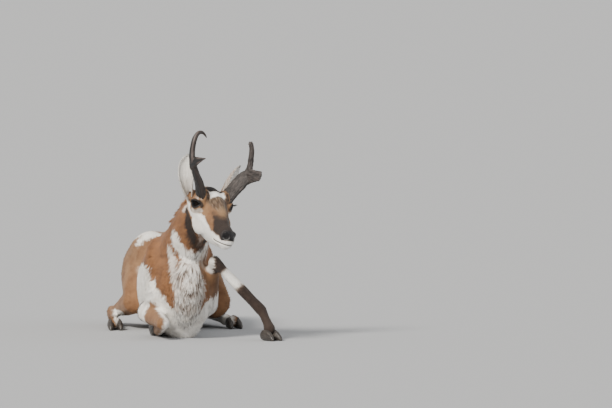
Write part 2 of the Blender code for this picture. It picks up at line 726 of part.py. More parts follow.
def root_all(thing, forms):
    """Roots many closed forms in an object, which stays one closed body."""
    group = make_collection("locks")
    for form in forms:
        group.objects.link(bpy.data.objects.new("lock", to_mesh([form], "lock")))
    step = thing.modifiers.new("root", "BOOLEAN")
    step.operation = "UNION"
    step.operand_type = "COLLECTION"
    step.collection = group
    step.solver = "EXACT"
    settle(thing)
    for tool in list(group.objects):
        bpy.data.objects.remove(tool)
    bpy.data.collections.remove(group)
    keep_largest(thing)


def main():
    clear_scene()
    paints = make_paints()
    group = make_collection("pronghorn")
    head = make_head(paints["face"], group)
    make_eyes(paints["eye"], group)
    make_horns(head, paints["horn"], group)
    make_ears(head, paints["pale"], group)
    legs = make_legs(paints, group)
    trunk = piece("torso", trunk_forms(), paints["coat"], group)
    fuse(trunk, 0.0065, 8, 1500)
    root_all(trunk, mane_locks(trunk))
    neck = part_trunk(trunk, legs, head, paints, group)
    tail = piece("tail", [loft(TAIL, sides=10)], paints["coat"], group)
    give_way(tail, trunk)
    for ear in ("ear_right", "ear_left"):
        give_way(neck, group.objects[ear])
    reach = 2.0
    for thing in group.objects:
        if min(vertex.co.z for vertex in thing.data.vertices) < 0:
            combine(thing, [block((-reach, -reach, -reach), (reach, reach, 0))])
        thing.data.transform(Matrix.Translation(-BOX_MIDDLE))
        thing.data.shade_smooth()
        thing.data.set_sharp_from_angle(angle=SHARP)


main()
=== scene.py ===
"""The looks of a life-size pronghorn buck, bedded with its head turned to its left.

Metres, +Z up, +X to the animal's left, -Y ahead of it. Tables of places on the body are in
millimetres from the brisket, and those on the head in centimetres from its middle, which is
just ahead of the eyes and between them: towards the nose, out to the left, and up.
"""
import math

import bmesh
import bpy
import numpy as np
from mathutils import Matrix, Vector
from mathutils.bvhtree import BVHTree


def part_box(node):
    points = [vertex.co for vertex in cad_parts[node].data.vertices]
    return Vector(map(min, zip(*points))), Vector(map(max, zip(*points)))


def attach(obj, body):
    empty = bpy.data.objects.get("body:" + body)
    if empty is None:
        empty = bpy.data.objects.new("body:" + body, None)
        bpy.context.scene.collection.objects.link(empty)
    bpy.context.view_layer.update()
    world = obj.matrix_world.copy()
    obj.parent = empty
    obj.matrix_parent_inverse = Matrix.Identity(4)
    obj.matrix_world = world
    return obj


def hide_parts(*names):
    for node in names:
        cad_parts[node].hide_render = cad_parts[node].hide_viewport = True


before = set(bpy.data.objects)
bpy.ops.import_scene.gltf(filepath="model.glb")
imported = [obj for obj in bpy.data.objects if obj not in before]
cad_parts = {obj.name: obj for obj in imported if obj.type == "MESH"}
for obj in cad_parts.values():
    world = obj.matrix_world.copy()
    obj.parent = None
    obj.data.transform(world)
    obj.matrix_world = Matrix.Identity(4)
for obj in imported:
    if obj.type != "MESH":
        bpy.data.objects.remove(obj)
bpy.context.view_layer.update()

CM = 0.01
MM = 0.001
BRISKET = Vector((-0.0520, -0.2860, 0))
SIDES = {"right": -1, "left": 1}

# How the head is held, and where the eyes are
HEAD_TURN = math.radians(14.4)
HEAD_DROP = math.radians(31.2)
HEAD_TILT = math.radians(9.1)
FACE = Vector((math.sin(HEAD_TURN) * math.cos(HEAD_DROP), -math.cos(HEAD_TURN) * math.cos(HEAD_DROP),
               -math.sin(HEAD_DROP)))
LEFT = Matrix.Rotation(-HEAD_TILT, 3, FACE) @ Vector((math.cos(HEAD_TURN), math.sin(HEAD_TURN), 0))
CROWN = FACE.cross(LEFT)
EYE_AHEAD = -0.8
EYE_UP = 0.1
EYE_RADIUS = 2.25 * CM
EYES = ("eye_left", "eye_right")
FLESH = tuple(name for name in sorted(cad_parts)
              if not name.startswith(("horn", "ear", "eye")) and "hoof" not in name)


def node_middle(name):
    low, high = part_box(name)
    return (low + high) / 2


FROM_MIDDLE = (FACE * EYE_AHEAD + CROWN * EYE_UP) * CM
HEAD_MIDDLE = (node_middle("eye_left") + node_middle("eye_right")) / 2 - FROM_MIDDLE


# The camera: its framing is the photograph's, 612 by 408 pixels

PIXEL = 0.0032                           # metres on the animal
FRAME_PIXELS = (612, 408)
BRISKET_PIXEL = (186, 340)
CAMERA_AZIMUTH = math.radians(-10)
CAMERA_ELEVATION = math.radians(3)
LENS = 600
SENSOR = 36
CAMERA_REACH = 500


def new_thing(name, data, paint=None):
    thing = bpy.data.objects.new(name, data)
    bpy.context.scene.collection.objects.link(thing)
    if paint is not None:
        data.materials.append(paint)
    return thing


def make_camera():
    turn, rise = CAMERA_AZIMUTH, CAMERA_ELEVATION
    back = Vector((math.sin(turn) * math.cos(rise), -math.cos(turn) * math.cos(rise), math.sin(rise)))
    right = Vector((math.cos(turn), math.sin(turn), 0))
    up = back.cross(right)
    across = (FRAME_PIXELS[0] / 2 - BRISKET_PIXEL[0]) * PIXEL
    above = (BRISKET_PIXEL[1] - FRAME_PIXELS[1] / 2) * PIXEL
    away = FRAME_PIXELS[0] * PIXEL * LENS / SENSOR + (HEAD_MIDDLE - BRISKET).dot(back)
    camera = new_thing("camera", bpy.data.cameras.new("camera"))
    camera.data.lens = LENS
    camera.data.sensor_width = SENSOR
    camera.data.clip_end = CAMERA_REACH
    camera.location = BRISKET + right * across + up * above + back * away
    camera.rotation_euler = Matrix((right, up, back)).transposed().to_euler()
    bpy.context.scene.camera = camera


# The even pale tone of the studio, and its suns: place, power, colour and degrees across
STUDIO = (0.72, 0.715, 0.705)
AIM = Vector((0, 0, 0.2))
SUNS = {
    "key": (Vector((-3.2, -3.4, 3.6)), 5.2, (1.0, 0.955, 0.88), 14),
    "fill": (Vector((4.0, -2.0, 2.5)), 0.6, (0.86, 0.92, 1.0), 60),
}
FLOOR_REACH = 200.0


def make_light():
    for name, (place, power, color, spread) in SUNS.items():
        sun = bpy.data.lights.new(name, "SUN")
        sun.energy = power
        sun.angle = math.radians(spread)
        sun.color = color
        lamp = new_thing(name, sun)
        lamp.location = place
        lamp.rotation_euler = (AIM - place).to_track_quat("-Z", "Y").to_euler()
    world = bpy.data.worlds.new("studio")
    bpy.context.scene.world = world
    world.use_nodes = True
    sky = world.node_tree.nodes["Background"]
    sky.inputs["Color"].default_value = (*STUDIO, 1)
    sky.inputs["Strength"].default_value = 1.0


def floor_color():
    """The colour at which the lit floor is as bright as the studio behind it."""
    color = []
    for channel, sky in enumerate(STUDIO):
        lit = sky
        for place, power, tint, _ in SUNS.values():
            lit += power * tint[channel] * (place - AIM).normalized().z / math.pi
        color.append(sky / lit)
    return color


def made(name, create, **sizes):
    """A new mesh of what one of bmesh's operators creates."""
    whole = bmesh.new()
    create(whole, **sizes)
    mesh = bpy.data.meshes.new(name)
    whole.to_mesh(mesh)
    whole.free()
    return mesh


def make_floor():
    mesh = made("floor", bmesh.ops.create_grid, x_segments=2, y_segments=2, size=FLOOR_REACH)
    paint = Paint("floor", {"Base Color": floor_color(), "Roughness": 1.0, "Specular IOR Level": 0.0})
    new_thing("floor", mesh, paint.material)


# Measuring on the body

def rows_of(points):
    return np.array([tuple(point) for point in points], float)


def size_of(rows):
    return np.linalg.norm(rows, axis=1)


def unit(rows):
    return rows / np.linalg.norm(rows, axis=-1, keepdims=True)


def most(*shares):
    """The largest of the shares at each point."""
    return np.maximum.reduce(shares)


def curve(table, values):
    """What a table of pairs gives for each value."""
    return np.interp(values, *np.array(table, float).T)


def metres(*places):
    """Places that are given in millimetres."""
    return tuple(tuple(value / 1000 for value in place) for place in places)


def head_places(points):
    """Places in centimetres on the head: ahead, left and up."""
    return (points - np.array(HEAD_MIDDLE)) @ rows_of((FACE, LEFT, CROWN)).T / CM


def half_places(points):
    """Places on the head with its right side laid over its left."""
    found = head_places(points)
    found[:, 1] = np.abs(found[:, 1])
    return found


def on_head(ahead, out, up, side=1):
    return HEAD_MIDDLE + (FACE * ahead + LEFT * out * side + CROWN * up) * CM


def side_line(line, side):
    return [on_head(*place, side) for place in line]


def body_line(line):
    return [BRISKET + Vector(place) for place in line]


def parts_of(line):
    """The lengths of a line's parts, and how far along it each of its points is."""
    lengths = size_of(np.diff(line, axis=0))
    return lengths, np.concatenate(([0], np.cumsum(lengths)))


def from_line(points, line):
    """How far each point is from a line of points, and the share of the line at which it is nearest."""
    line = rows_of(line)
    best = np.full(len(points), np.inf)
    share = np.zeros(len(points))
    lengths, starts = parts_of(line)
    for start, end, length, before in zip(line, line[1:], lengths, starts):
        way = (end - start) / length
        along = np.clip((points - start) @ way, 0, length)
        away = size_of(points - start - along[:, None] * way)
        nearer = away < best
        best[nearer] = away[nearer]
        share[nearer] = (before + along[nearer]) / starts[-1]
    return best, share


def step(low, high, values):
    """0 below low, 1 above high, and smooth between them; the other way round where low is higher."""
    share = np.clip((values - low) / (high - low), 0, 1)
    return share * share * (3 - 2 * share)


WAVES = 7                                # laid over each other
WAVES_HIGH = 1.6                         # how high they come, in their own spread


def waves(points, scale, seed):
    """A smooth, seeded, random-looking value from about -1 to 1 at each point."""
    draw = np.random.default_rng(seed)
    total = np.zeros(len(points))
    for _ in range(WAVES):
        way = draw.normal(size=3)
        total += np.sin(points @ (way * math.tau / scale) + draw.uniform(0, math.tau))
    return total / math.sqrt(WAVES / 2) / WAVES_HIGH


# Mesh work

def read(values, name, width=3, kind=np.float32):
    """One property of all of a mesh's points, edges or corners, as rows."""
    found = np.empty(len(values) * width, kind)
    values.foreach_get(name, found)
    return found.reshape(-1, width)


def places(mesh):
    return read(mesh.vertices, "co").astype(float)


def normals(mesh):
    return read(mesh.vertex_normals, "vector").astype(float)


def put(mesh, points):
    mesh.vertices.foreach_set("co", points.astype(np.float32).ravel())
    mesh.update()


def edit(mesh, change):
    """Opens a mesh and puts back into it what a change makes of it."""
    whole = bmesh.new()
    whole.from_mesh(mesh)
    change(whole)
    whole.to_mesh(mesh)
    whole.free()


def triangulate(mesh):
    edit(mesh, lambda whole: bmesh.ops.triangulate(whole, faces=whole.faces))


def surface_of(mesh):
    """A mesh's surface, to look up places on."""
    whole = bmesh.new()
    whole.from_mesh(mesh)
    surface = BVHTree.FromBMesh(whole)
    whole.free()
    return surface


def keep_largest(mesh):
    """Drops every loose scrap of a mesh but its largest closed surface."""
    one, other = read(mesh.edges, "vertices", 2, np.int32).T
    label = np.arange(len(mesh.vertices))
    while True:
        lowest = np.minimum(label[one], label[other])
        renewed = label.copy()
        np.minimum.at(renewed, one, lowest)
        np.minimum.at(renewed, other, lowest)
        renewed = renewed[renewed]
        if (renewed == label).all():
            break
        label = renewed
    values, counts = np.unique(label, return_counts=True)
    scraps = np.flatnonzero(label != values[counts.argmax()])

    def drop(whole):
        whole.verts.ensure_lookup_table()
        bmesh.ops.delete(whole, geom=[whole.verts[i] for i in scraps], context="VERTS")

    if len(scraps):
        edit(mesh, drop)


def remesh(thing, voxel, softening):
    """Makes one smooth closed surface of a thing, of squares of about a voxel."""
    even = thing.modifiers.new("skin", "REMESH")
    even.mode = "VOXEL"
    even.voxel_size = voxel
    thing.modifiers.new("soften", "SMOOTH").iterations = softening
    seen = thing.evaluated_get(bpy.context.evaluated_depsgraph_get())
    mesh = bpy.data.meshes.new_from_object(seen)
    thing.modifiers.clear()
    old = thing.data
    thing.data = mesh
    bpy.data.meshes.remove(old)
    keep_largest(mesh)


def melted(name, names, voxel, softening, swell=0.0, balls=()):
    """One skin over nodes, each moved out a little so that they meet, and over balls."""
    whole = bmesh.new()
    for node_name in names:
        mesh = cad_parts[node_name].data.copy()

        def swollen(solid):
            bmesh.ops.remove_doubles(solid, verts=solid.verts, dist=1e-6)
            solid.normal_update()
            for vertex in solid.verts:
                vertex.co += vertex.normal * swell

        edit(mesh, swollen)
        whole.from_mesh(mesh)
        bpy.data.meshes.remove(mesh)
    for middle, radius in balls:
        bmesh.ops.create_icosphere(whole, subdivisions=3, radius=radius, matrix=Matrix.Translation(middle))
    joined = bpy.data.meshes.new(name)
    whole.to_mesh(joined)
    whole.free()
    thing = new_thing(name, joined)
    remesh(thing, voxel, softening)
    return thing


def refine(mesh, wanted):
    """Splits in four the faces of a mesh whose middles are wanted."""
    def split(whole):
        middles = np.array([face.calc_center_median()[:] for face in whole.faces])
        chosen = [face for face, take in zip(whole.faces, wanted(middles)) if take]
        edges = list({edge for face in chosen for edge in face.edges})
        bmesh.ops.subdivide_edges(whole, edges=edges, cuts=1, use_grid_fill=True)
        bmesh.ops.triangulate(whole, faces=[face for face in whole.faces if len(face.verts) > 4])

    edit(mesh, split)


def give(mesh, rows, name):
    """Gives each point of a mesh a colour of four shares, or three numbers, under a name."""
    kind, field = ("FLOAT_COLOR", "color") if rows.shape[1] == 4 else ("FLOAT_VECTOR", "vector")
    layer = mesh.attributes.new(name, kind, "POINT")
    layer.data.foreach_set(field, rows.astype(np.float32).ravel())


# The lie of the coat: lines from where the hair comes to where it points

LEG_LINES = {
    "foreleg_right": metres((-100, 155, 85), (-88, -66, 56), (-70, 130, 24), (-66, 186, 22)),
    "foreleg_left": metres((88, 120, 100), (83, -50, 253), (231, -85, 94), (249, -112, 46)),
    "hindleg_right": metres((-85, 490, 100), (-118, 785, 40), (-152, 550, 24), (-157, 497, 26)),
    "hindleg_left": metres((186, 500, 85), (178, 790, 38), (226, 560, 24), (236, 507, 26)),
}
HEAD_LIE = {
    "bridge": ((18.5, 0.0, -0.5), (12.0, 0.0, 2.2), (4.0, 0.0, 4.0), (-4.0, 0.0, 4.6), (-9.0, 0.0, 3.4)),
    "cheek": ((17.0, 2.4, -2.0), (10.0, 3.2, -2.4), (3.0, 4.8, -3.6), (-3.0, 5.2, -5.0), (-8.0, 4.6, -5.0)),
    "jaw": ((17.0, 0.0, -5.6), (9.0, 0.0, -8.6), (0.0, 0.0, -10.2), (-7.0, 0.0, -8.8)),
}
BODY_LIE = {
    "nape": metres((31, -118, 478), (24, -70, 462), (15, -10, 425), (8, 50, 385), (4, 120, 350)),
    "neck_right": metres((-10, -130, 410), (-40, -40, 350), (-70, 50, 270), (-85, 110, 180)),
    "neck_left": metres((80, -110, 410), (72, -30, 350), (75, 50, 270), (85, 90, 180)),
    "throat": metres((45, -150, 370), (20, -90, 300), (0, -72, 200), (0, -50, 100), (0, -20, 30)),
    "back": metres((4, 130, 345), (20, 320, 350), (50, 550, 332), (60, 740, 310), (62, 840, 235)),
    "side_right": metres((-100, 120, 260), (-118, 250, 200), (-110, 420, 150), (-100, 600, 180),
                         (-60, 760, 160), (-10, 840, 130)),
    "side_left": metres((95, 100, 260), (125, 240, 200), (165, 420, 140), (205, 600, 150), (180, 760, 120),
                        (120, 840, 120)),
    "belly": metres((0, 20, 10), (20, 300, 0), (50, 600, 0), (60, 780, 10)),
    "tail": metres((60, 842, 232), (64, 872, 205), (70, 888, 160), (74, 890, 100)),
}
# Each line's tufts: length and breadth in millimetres, lift in degrees, how many to a square
# centimetre, the coat's depth over the skin in millimetres, and the piece that they are in
COATS = {
    "bridge": (6, 1.1, 2.5, 15.0, 0.4, "coat_head"),
    "cheek": (8, 1.3, 2.5, 13.0, 0.6, "coat_head"),
    "jaw": (10, 1.5, 4, 11.0, 0.8, "coat_head"),
    "nape": (30, 2.6, 8, 11.0, 4.0, "coat_nape"),
    "neck_right": (24, 2.4, 4.5, 12.0, 3.0, "coat_neck"),
    "neck_left": (24, 2.4, 4.5, 12.0, 3.0, "coat_neck"),
    "throat": (28, 2.6, 6, 11.0, 3.5, "coat_throat"),
    "back": (26, 2.8, 3.5, 8.5, 3.2, "coat_back"),
    "side_right": (26, 2.8, 3.5, 8.5, 3.2, "coat_side_right"),
    "side_left": (26, 2.8, 3.5, 8.5, 3.2, "coat_side_left"),
    "belly": (28, 3.0, 4, 5.5, 2.5, "coat_belly"),
    "tail": (30, 2.8, 4, 20.0, 3.5, "coat_tail"),
    "foreleg": (11, 1.6, 4, 9.0, 0.9, "coat_forelegs"),
    "hindleg": (12, 1.6, 4, 9.0, 0.9, "coat_hindlegs"),
}
LIE_BLEND = 0.006                        # how close to a line its own lie takes over
STRAND_DRAWN = 0.86                      # how far the coat's texture is drawn out along the hair


def lie_lines():
    """Each line of the lie with its coat: the points of the line, and the name of its coat."""
    lines = [(side_line(HEAD_LIE[name], 1), name) for name in ("bridge", "jaw")]
    lines += [(side_line(HEAD_LIE["cheek"], side), "cheek") for side in SIDES.values()]
    lines += [(body_line(line), name) for name, line in BODY_LIE.items()]
    for name, joints in LEG_LINES.items():
        lines += [(body_line(ends), name.split("_")[0]) for ends in zip(joints, joints[1:])]
    return lines


def lie_of(points):
    """The way that the hair points, the blended coat sizes and the nearest coat's number at each point."""
    total = np.zeros((len(points), 3))
    sizes = np.zeros((len(points), 5))
    weights = np.zeros(len(points))
    nearest = np.full(len(points), np.inf)
    kind = np.zeros(len(points), int)
    names = list(COATS)
    for line, name in lie_lines():
        line = rows_of(line)
        away, share = from_line(points, line)
        lengths, starts = parts_of(line)
        part = np.clip(np.searchsorted(starts / starts[-1], share, side="right") - 1, 0, len(lengths) - 1)
        ways = np.diff(line, axis=0) / lengths[:, None]
        weight = 1 / (away + LIE_BLEND) ** 4
        total += ways[part] * weight[:, None]
        sizes += weight[:, None] * np.array(COATS[name][:5], float)
        weights += weight
        closer = away < nearest
        nearest[closer] = away[closer]
        kind[closer] = names.index(name)
    return unit(total), sizes / weights[:, None], kind


def laid(way, rise):
    """Ways laid down on the skin."""
    return unit(way - rise * (way * rise).sum(axis=1)[:, None])


# The markings. Each is a share from 0 to 1 of white, of dark, of rust in the tan, and of bare skin.
# In places the white is dimmed and the dark laid on as painted shade, and on the crown as a painted shadow.

# On the trunk: the white bands of the neck, with how wide and how strong each is, the middle of
# the chest's white, the upper edge of the belly's white from front to back, and where the spine is
NECK_MIDDLE = 0.012
CRESCENTS = (
    (metres((-45, -34, 332), (-42, -38, 320), (-33, -42, 298), (-20, -47, 281), (2, -62, 262)), 0.022, 1.0),
    (metres((-56, 5, 288), (-50, 2, 263), (-47, -24, 240), (-47, -37, 214), (-41, -49, 189),
             (-30, -45, 140)), 0.015, 0.65),
)
CHEST = metres((8, -60, 235), (4, -66, 180), (0, -55, 100), (0, -20, 30))
BELLY_EDGE = metres((-50, 70), (20, 150), (46, 175), (78, 196), (95, 211), (130, 225), (300, 232),
                    (460, 225), (540, 200), (600, 60), (900, 30))
SPINE = metres((100, 0), (400, 28), (600, 55), (850, 62))
CROUP_PATCHES = (metres((-46, 595, 285), (-10, 590, 300), (-35, 680, 285), (5, 830, 240)),
                 metres((130, 600, 290), (105, 600, 300), (140, 680, 270), (110, 830, 220)))
RUMP = metres((5, 860, 130), (60, 870, 210), (120, 860, 120))
# A line under the jaw along which the throat is darkened: painted shade
THROAT_PAINTED_SHADE = metres((0, -100, 330), (6, -97, 318), (30, -87, 298), (60, -73, 288))
# The raised knee's dark half is painted shade on tan fur.
KNEE_SPLIT = 0.079                       # across, between the raised knee's pale and dark halves


def body_marks(points):
    """White, dark and rust on the trunk, neck and tail."""
    rough = waves(points, 0.022, 3) * 0.006 + waves(points, 0.007, 4) * 0.003
    broad = waves(points, 0.07, 10) * 0.012
    fleck = waves(points * (1, 1, 0.45), 0.010, 7)
    body = points - np.array(BRISKET)
    x, y, z = body.T

    def close(line, inner, outer):
        return step(outer, inner, from_line(body, line)[0] + rough)

    # On the chest the white is flecked with grey and dark: partly real mottling and partly painted shade
    chest = close(CHEST, 0.036, 0.062)
    thigh = step(0.43, 0.445, y + rough + broad + 0.18 * (z - 0.16)) * step(0.085, 0.115, np.abs(x - 0.03))
    edge = z - curve(BELLY_EDGE, y) + rough * 1.5 + broad
    belly = step(0.004, -0.006, edge) * step(0.62, 0.54, y) * (1 - thigh)
    white = most(chest * np.clip(0.64 + 0.42 * fleck, 0, 1), belly, close(RUMP, 0.080, 0.095))
    for line in CROUP_PATCHES:
        white = most(white, close(line, 0.022, 0.030))
    for line, width, strength in CRESCENTS:
        for course in (line, [(2 * NECK_MIDDLE - x, y, z) for x, y, z in line]):
            white = most(white, strength * close(course, width - 0.004, width + 0.004))
    top = step(0.028, 0.014, np.abs(x - curve(SPINE, y))) * step(0.20, 0.26, z) * step(0.02, 0.15, y)
    white *= 1 - top * step(0.90, 0.86, y)
    # the dark along the throat line is painted shade under the jaw
    dark = most(0.35 * top, 0.5 * close(BODY_LIE["nape"], 0.006, 0.018),
                0.80 * close(THROAT_PAINTED_SHADE, 0.016, 0.030), chest * 0.70 * step(0.15, 0.7, -fleck))
    rust = 1 - 0.55 * step(0.42, 0.60, y) - 0.15 * step(0.16, 0.35, y)
    return white, dark, rust


def leg_marks(points):
    """White, dark and nearness on the legs, with painted shade on the raised foreleg."""
    white, dark, near = np.zeros((3, len(points)))
    body = points - np.array(BRISKET)
    rough = waves(points, 0.03, 8) * 0.003 + waves(points, 0.008, 9) * 0.002
    for name, joints in LEG_LINES.items():
        line = rows_of(joints)
        away, share = from_line(body, line)
        lengths, starts = parts_of(line)
        shares = starts / lengths.sum()
        close = step(0.052, 0.044, away + rough) * step(0.15, 0.18, share + rough * 4)
        near = most(near, close)
        across = body[:, 0] - np.interp(share, shares, line[:, 0])
        inner = across * (-1 if name.endswith("left") else 1) + rough
        if name != "foreleg_left":
            white = most(white, close * step(-0.006, 0.006, inner))
            continue
        cannon = step(shares[1] - 0.01, shares[1] + 0.01, share + rough)
        end = step(0.70, 0.66, share + rough * 2)
        white = most(white, close * cannon * end)
        # on the raised foreleg the dark of the lower cannon and pastern, and of the forearm's outer side,
        # is painted shade
        dark = most(dark, close * (1 - end) * 0.93,
                    close * step(0.38, 0.30, share) * step(0.0, 0.012, -inner) * 0.35)
        # the knee's outer half is dark as painted shade on tan fur, its inner half pale
        knee = close * step(0.050, 0.038, size_of(body - line[1]))
        outer = step(KNEE_SPLIT - 0.003, KNEE_SPLIT + 0.004, body[:, 0] + rough)
        white = white * (1 - knee) + 0.85 * knee * (1 - outer)
        dark = dark * (1 - knee) + 0.93 * knee * outer
    return white, dark, near


# On the head. The white cheek's upper and rear edges and the dark muzzle's lower edge are given by
# how far ahead they are, the muzzle's start by how far out, and the neck's middle by how far up
CHEEK_TOP = ((-8.0, -3.2), (-5.0, -4.3), (-3.2, -4.6), (-0.8, -3.7), (2.2, -1.8), (4.3, -1.3), (6.9, -1.9),
             (8.1, -2.6), (9.7, -3.3), (10.8, -2.9), (11.9, -2.7), (14.1, -2.1), (16.1, -2.3), (17.6, -1.2),
             (18.5, -1.0))
CHEEK_REAR = ((-8.0, -5.2), (-6.1, -6.0), (-4.4, -6.8), (-0.8, -7.4), (1.6, -8.8), (2.6, -13.0))
MUZZLE_EDGE = ((4.4, 1.2), (6.0, 0.7), (7.1, 0.3), (8.6, -0.6), (9.6, -1.5), (10.5, -2.7), (11.9, -2.8),
               (14.1, -2.2), (16.1, -2.4), (17.6, -1.3), (18.2, -1.1))
MUZZLE_START = ((0.0, 9.4), (1.0, 9.0), (1.8, 7.8), (2.8, 6.2), (3.6, 5.3))
THROAT_TURN = ((-16.0, 2.5), (-13.0, 2.0), (-9.0, 0.5), (-6.0, 0.0))
CHEEK_PATCH = ((-7.5, 4.2, -6.6), (-5.5, 4.3, -8.0), (-4.6, 4.1, -9.6), (-4.1, 3.9, -11.4),
               (-3.5, 3.3, -13.2), (-2.9, 2.3, -15.0))
PATCH_WIDTHS = (0.6, 1.0, 1.7, 1.9, 1.7, 1.3)
NAPE_CREAM = ((-7.4, 4.8, -5.4), (-9.0, 4.2, -7.6))
POUCH = ((-2.6, 5.1, -3.6), (0.5, 5.6, -2.1), (2.2, 5.2, -0.7))
EAR_ROOT = ((-9.5, 3.7, -6.7), (-7.6, 5.4, -4.2), (-6.0, 5.0, -4.4))
BROW = ((-2.6, 6.2, 2.4), (-0.6, 6.6, 2.4), (0.8, 5.6, 2.9))
HORN_FRONT = ((-0.7, 3.5, 4.7), (1.1, 3.8, 3.6))
EYE_CORNER = ((0.9, 5.9, 1.6), (2.3, 5.3, 0.9))
# The line of the mouth from its corner to the front
MOUTH = ((11.8, 2.85, -4.7), (13.6, 2.8, -4.35), (15.3, 2.5, -3.8), (16.9, 1.7, -3.3), (17.7, 0.6, -3.05),
         (17.8, 0.0, -3.0))


def from_mouth(folded):
    """How far up or down each folded place on the head is from the line of the mouth, in centimetres."""
    ahead, _, high = np.array(MOUTH).T
    away = np.abs(folded[:, 2] - np.interp(folded[:, 0], ahead, high))
    return away + np.maximum(ahead[0] - folded[:, 0], 0) + 10 * (folded[:, 1] > 4)


def throat_places(points):
    """Places on the head and throat, laid over their left side along the neck's middle."""
    ahead, left, up = head_places(points).T
    return np.column_stack((ahead, np.abs(left - curve(THROAT_TURN, up)), up))


def head_marks(points):
    """White, dark, rust and bare skin on the head, and how much of the point is the head's."""
    left = head_places(points)[:, 1]
    folded = throat_places(points)
    ahead, out, up = folded.T
    wavy = waves(points, 0.018, 5) * 0.12 + waves(points, 0.005, 6) * 0.12
    streak = waves(np.column_stack((ahead * 0.25, left, up)) * CM, 0.009, 12)

    def close(line, reach, soft=0.3):
        return step(reach + soft, reach - soft, from_line(folded, line)[0] + wavy * 0.8)

    on = step(-9.5, -6.5, ahead + 0.35 * (up + 4)) * step(15, 12, np.abs(left)) * step(-13.0, -11.0, up)
    forehead = step(1.6, 2.6, up) * step(4.8, 3.4, out) * step(7.6, 4.4, ahead) * step(-0.4, 0.8, ahead)
    rust = 0.45 - 0.35 * forehead - 0.25 * step(2.5, 0.5, out) * step(2, 5, ahead)
    dark = forehead * np.clip(0.62 + 0.14 * waves(folded * CM, 0.012, 13) - 0.20 * streak, 0, 0.85)
    white = step(0.35, -0.35, up - curve(CHEEK_TOP, ahead) + wavy)
    white *= step(-0.4, 0.4, up - curve(CHEEK_REAR, ahead) + wavy)
    white = most(white, close(EAR_ROOT, 1.5), forehead * np.clip(0.03 + 0.07 * streak, 0, 1))
    pouch = close(POUCH, 0.75)
    white = white * (1 - pouch) + 0.42 * pouch
    rust *= 1 - 0.9 * pouch
    white = most(white, close(BROW, 0.55) * np.clip(0.22 + 0.25 * streak, 0, 1))
    # the dark muzzle, whose upper side starts in a point of tan on the bridge
    edge = curve(MUZZLE_EDGE, ahead)
    start = curve(MUZZLE_START, out)
    muzzle = step(-2.4, 1.7, ahead - start + wavy * 2) * step(-0.5, 0.5, up - edge + wavy)
    dark = most(dark, muzzle * (0.965 + 0.035 * step(13, 15, ahead)))
    white *= 1 - muzzle
    # the white between the horns, with a painted shadow of the horns as a dark band behind it
    crown = step(3.1, 2.5, out + wavy * 0.7) * step(2.6, 3.4, up)
    patch = crown * step(-2.3, -1.8, ahead + wavy * 0.5) * step(1.3, 0.4, ahead + wavy)
    white = most(white, patch)
    # the dark line of the mouth, and the grey of the lips in front
    speck = waves(points, 0.0035, 16)
    # the dark band behind the crown's white is a painted shadow of the horns
    dark = most(dark * (1 - patch), crown * step(-1.8, -2.3, ahead + wavy * 0.5) * step(-7.6, -6.2, ahead),
                close(HORN_FRONT, 0.45) * 0.9, close(EYE_CORNER, 0.70) * 0.95,
                step(0.22, 0.12, from_mouth(folded)),
                0.35 * step(14.5, 16.5, ahead) * step(0.1, 0.8, speck) * step(-3.2, -2.6, up))
    bare = step(15.0, 15.8, ahead + wavy * 0.3) * step(-0.3, 0.1, up - edge)
    return white, dark, rust, bare, on


def cheek_patch(points):
    """The black patch behind the jaw, and the paler throat and nape beside it, on head and neck; the
    throat's white is dimmed as painted shade under the jaw.
    """
    folded = throat_places(points)
    ahead, out, up = folded.T
    wavy = waves(points, 0.014, 14) * 0.22 + waves(points, 0.005, 15) * 0.14
    away, share = from_line(folded, CHEEK_PATCH)
    width = np.interp(share, np.linspace(0, 1, len(PATCH_WIDTHS)), PATCH_WIDTHS)
    black = step(0.25, -0.25, away - width + wavy)
    low = np.interp(up, (-16.5, -9.0), (0.6, 1.8))
    throat = step(0.3, -0.3, out - low + wavy) * step(-16.8, -15.8, up + wavy) * step(-8.6, -9.6, up)
    cream = 0.55 * step(1.7, 0.6, from_line(folded, NAPE_CREAM)[0] + wavy)
    # the throat's white is kept at 0.3 of its strength: painted shade under the jaw
    return black, most(0.3 * throat * step(-5.5, -3.5, ahead), cream) * (1 - black)


def marks_of(points):
    """White, dark, rust and bare skin at each point, as one colour attribute holds them; the white and dark
    carry painted shade in places.
    """
    white, dark, rust = body_marks(points)
    leg_white, leg_dark, near = leg_marks(points)
    white = white * (1 - near) + leg_white
    dark = dark * (1 - near) + leg_dark
    rust = rust * (1 - near) + 0.55 * near
    face_white, face_dark, face_rust, bare, on = head_marks(points)
    white = white * (1 - on) + face_white * on
    dark = dark * (1 - on) + face_dark * on
    rust = rust * (1 - on) + face_rust * on
    black, pale = cheek_patch(points)
    white = most(white, pale)
    dark = most(dark * (1 - pale), black * 0.96)
    return np.clip(np.stack((white, dark, rust, bare * on), axis=1), 0, 1)


# The skin

SKIN_VOXEL = 0.0055
FINE_VOXEL = 0.0019
SKIN_SWELL = 0.0006
FINE_SWELL = 0.0003
SNAP_REACH = 0.012                       # how far the head's skin may move to its finer form
CORONET_RADIUS = 0.021
SKIN_FLOOR = 0.0006
MOUTH_DEEP = 0.0024
MOUTH_WIDE = 0.14
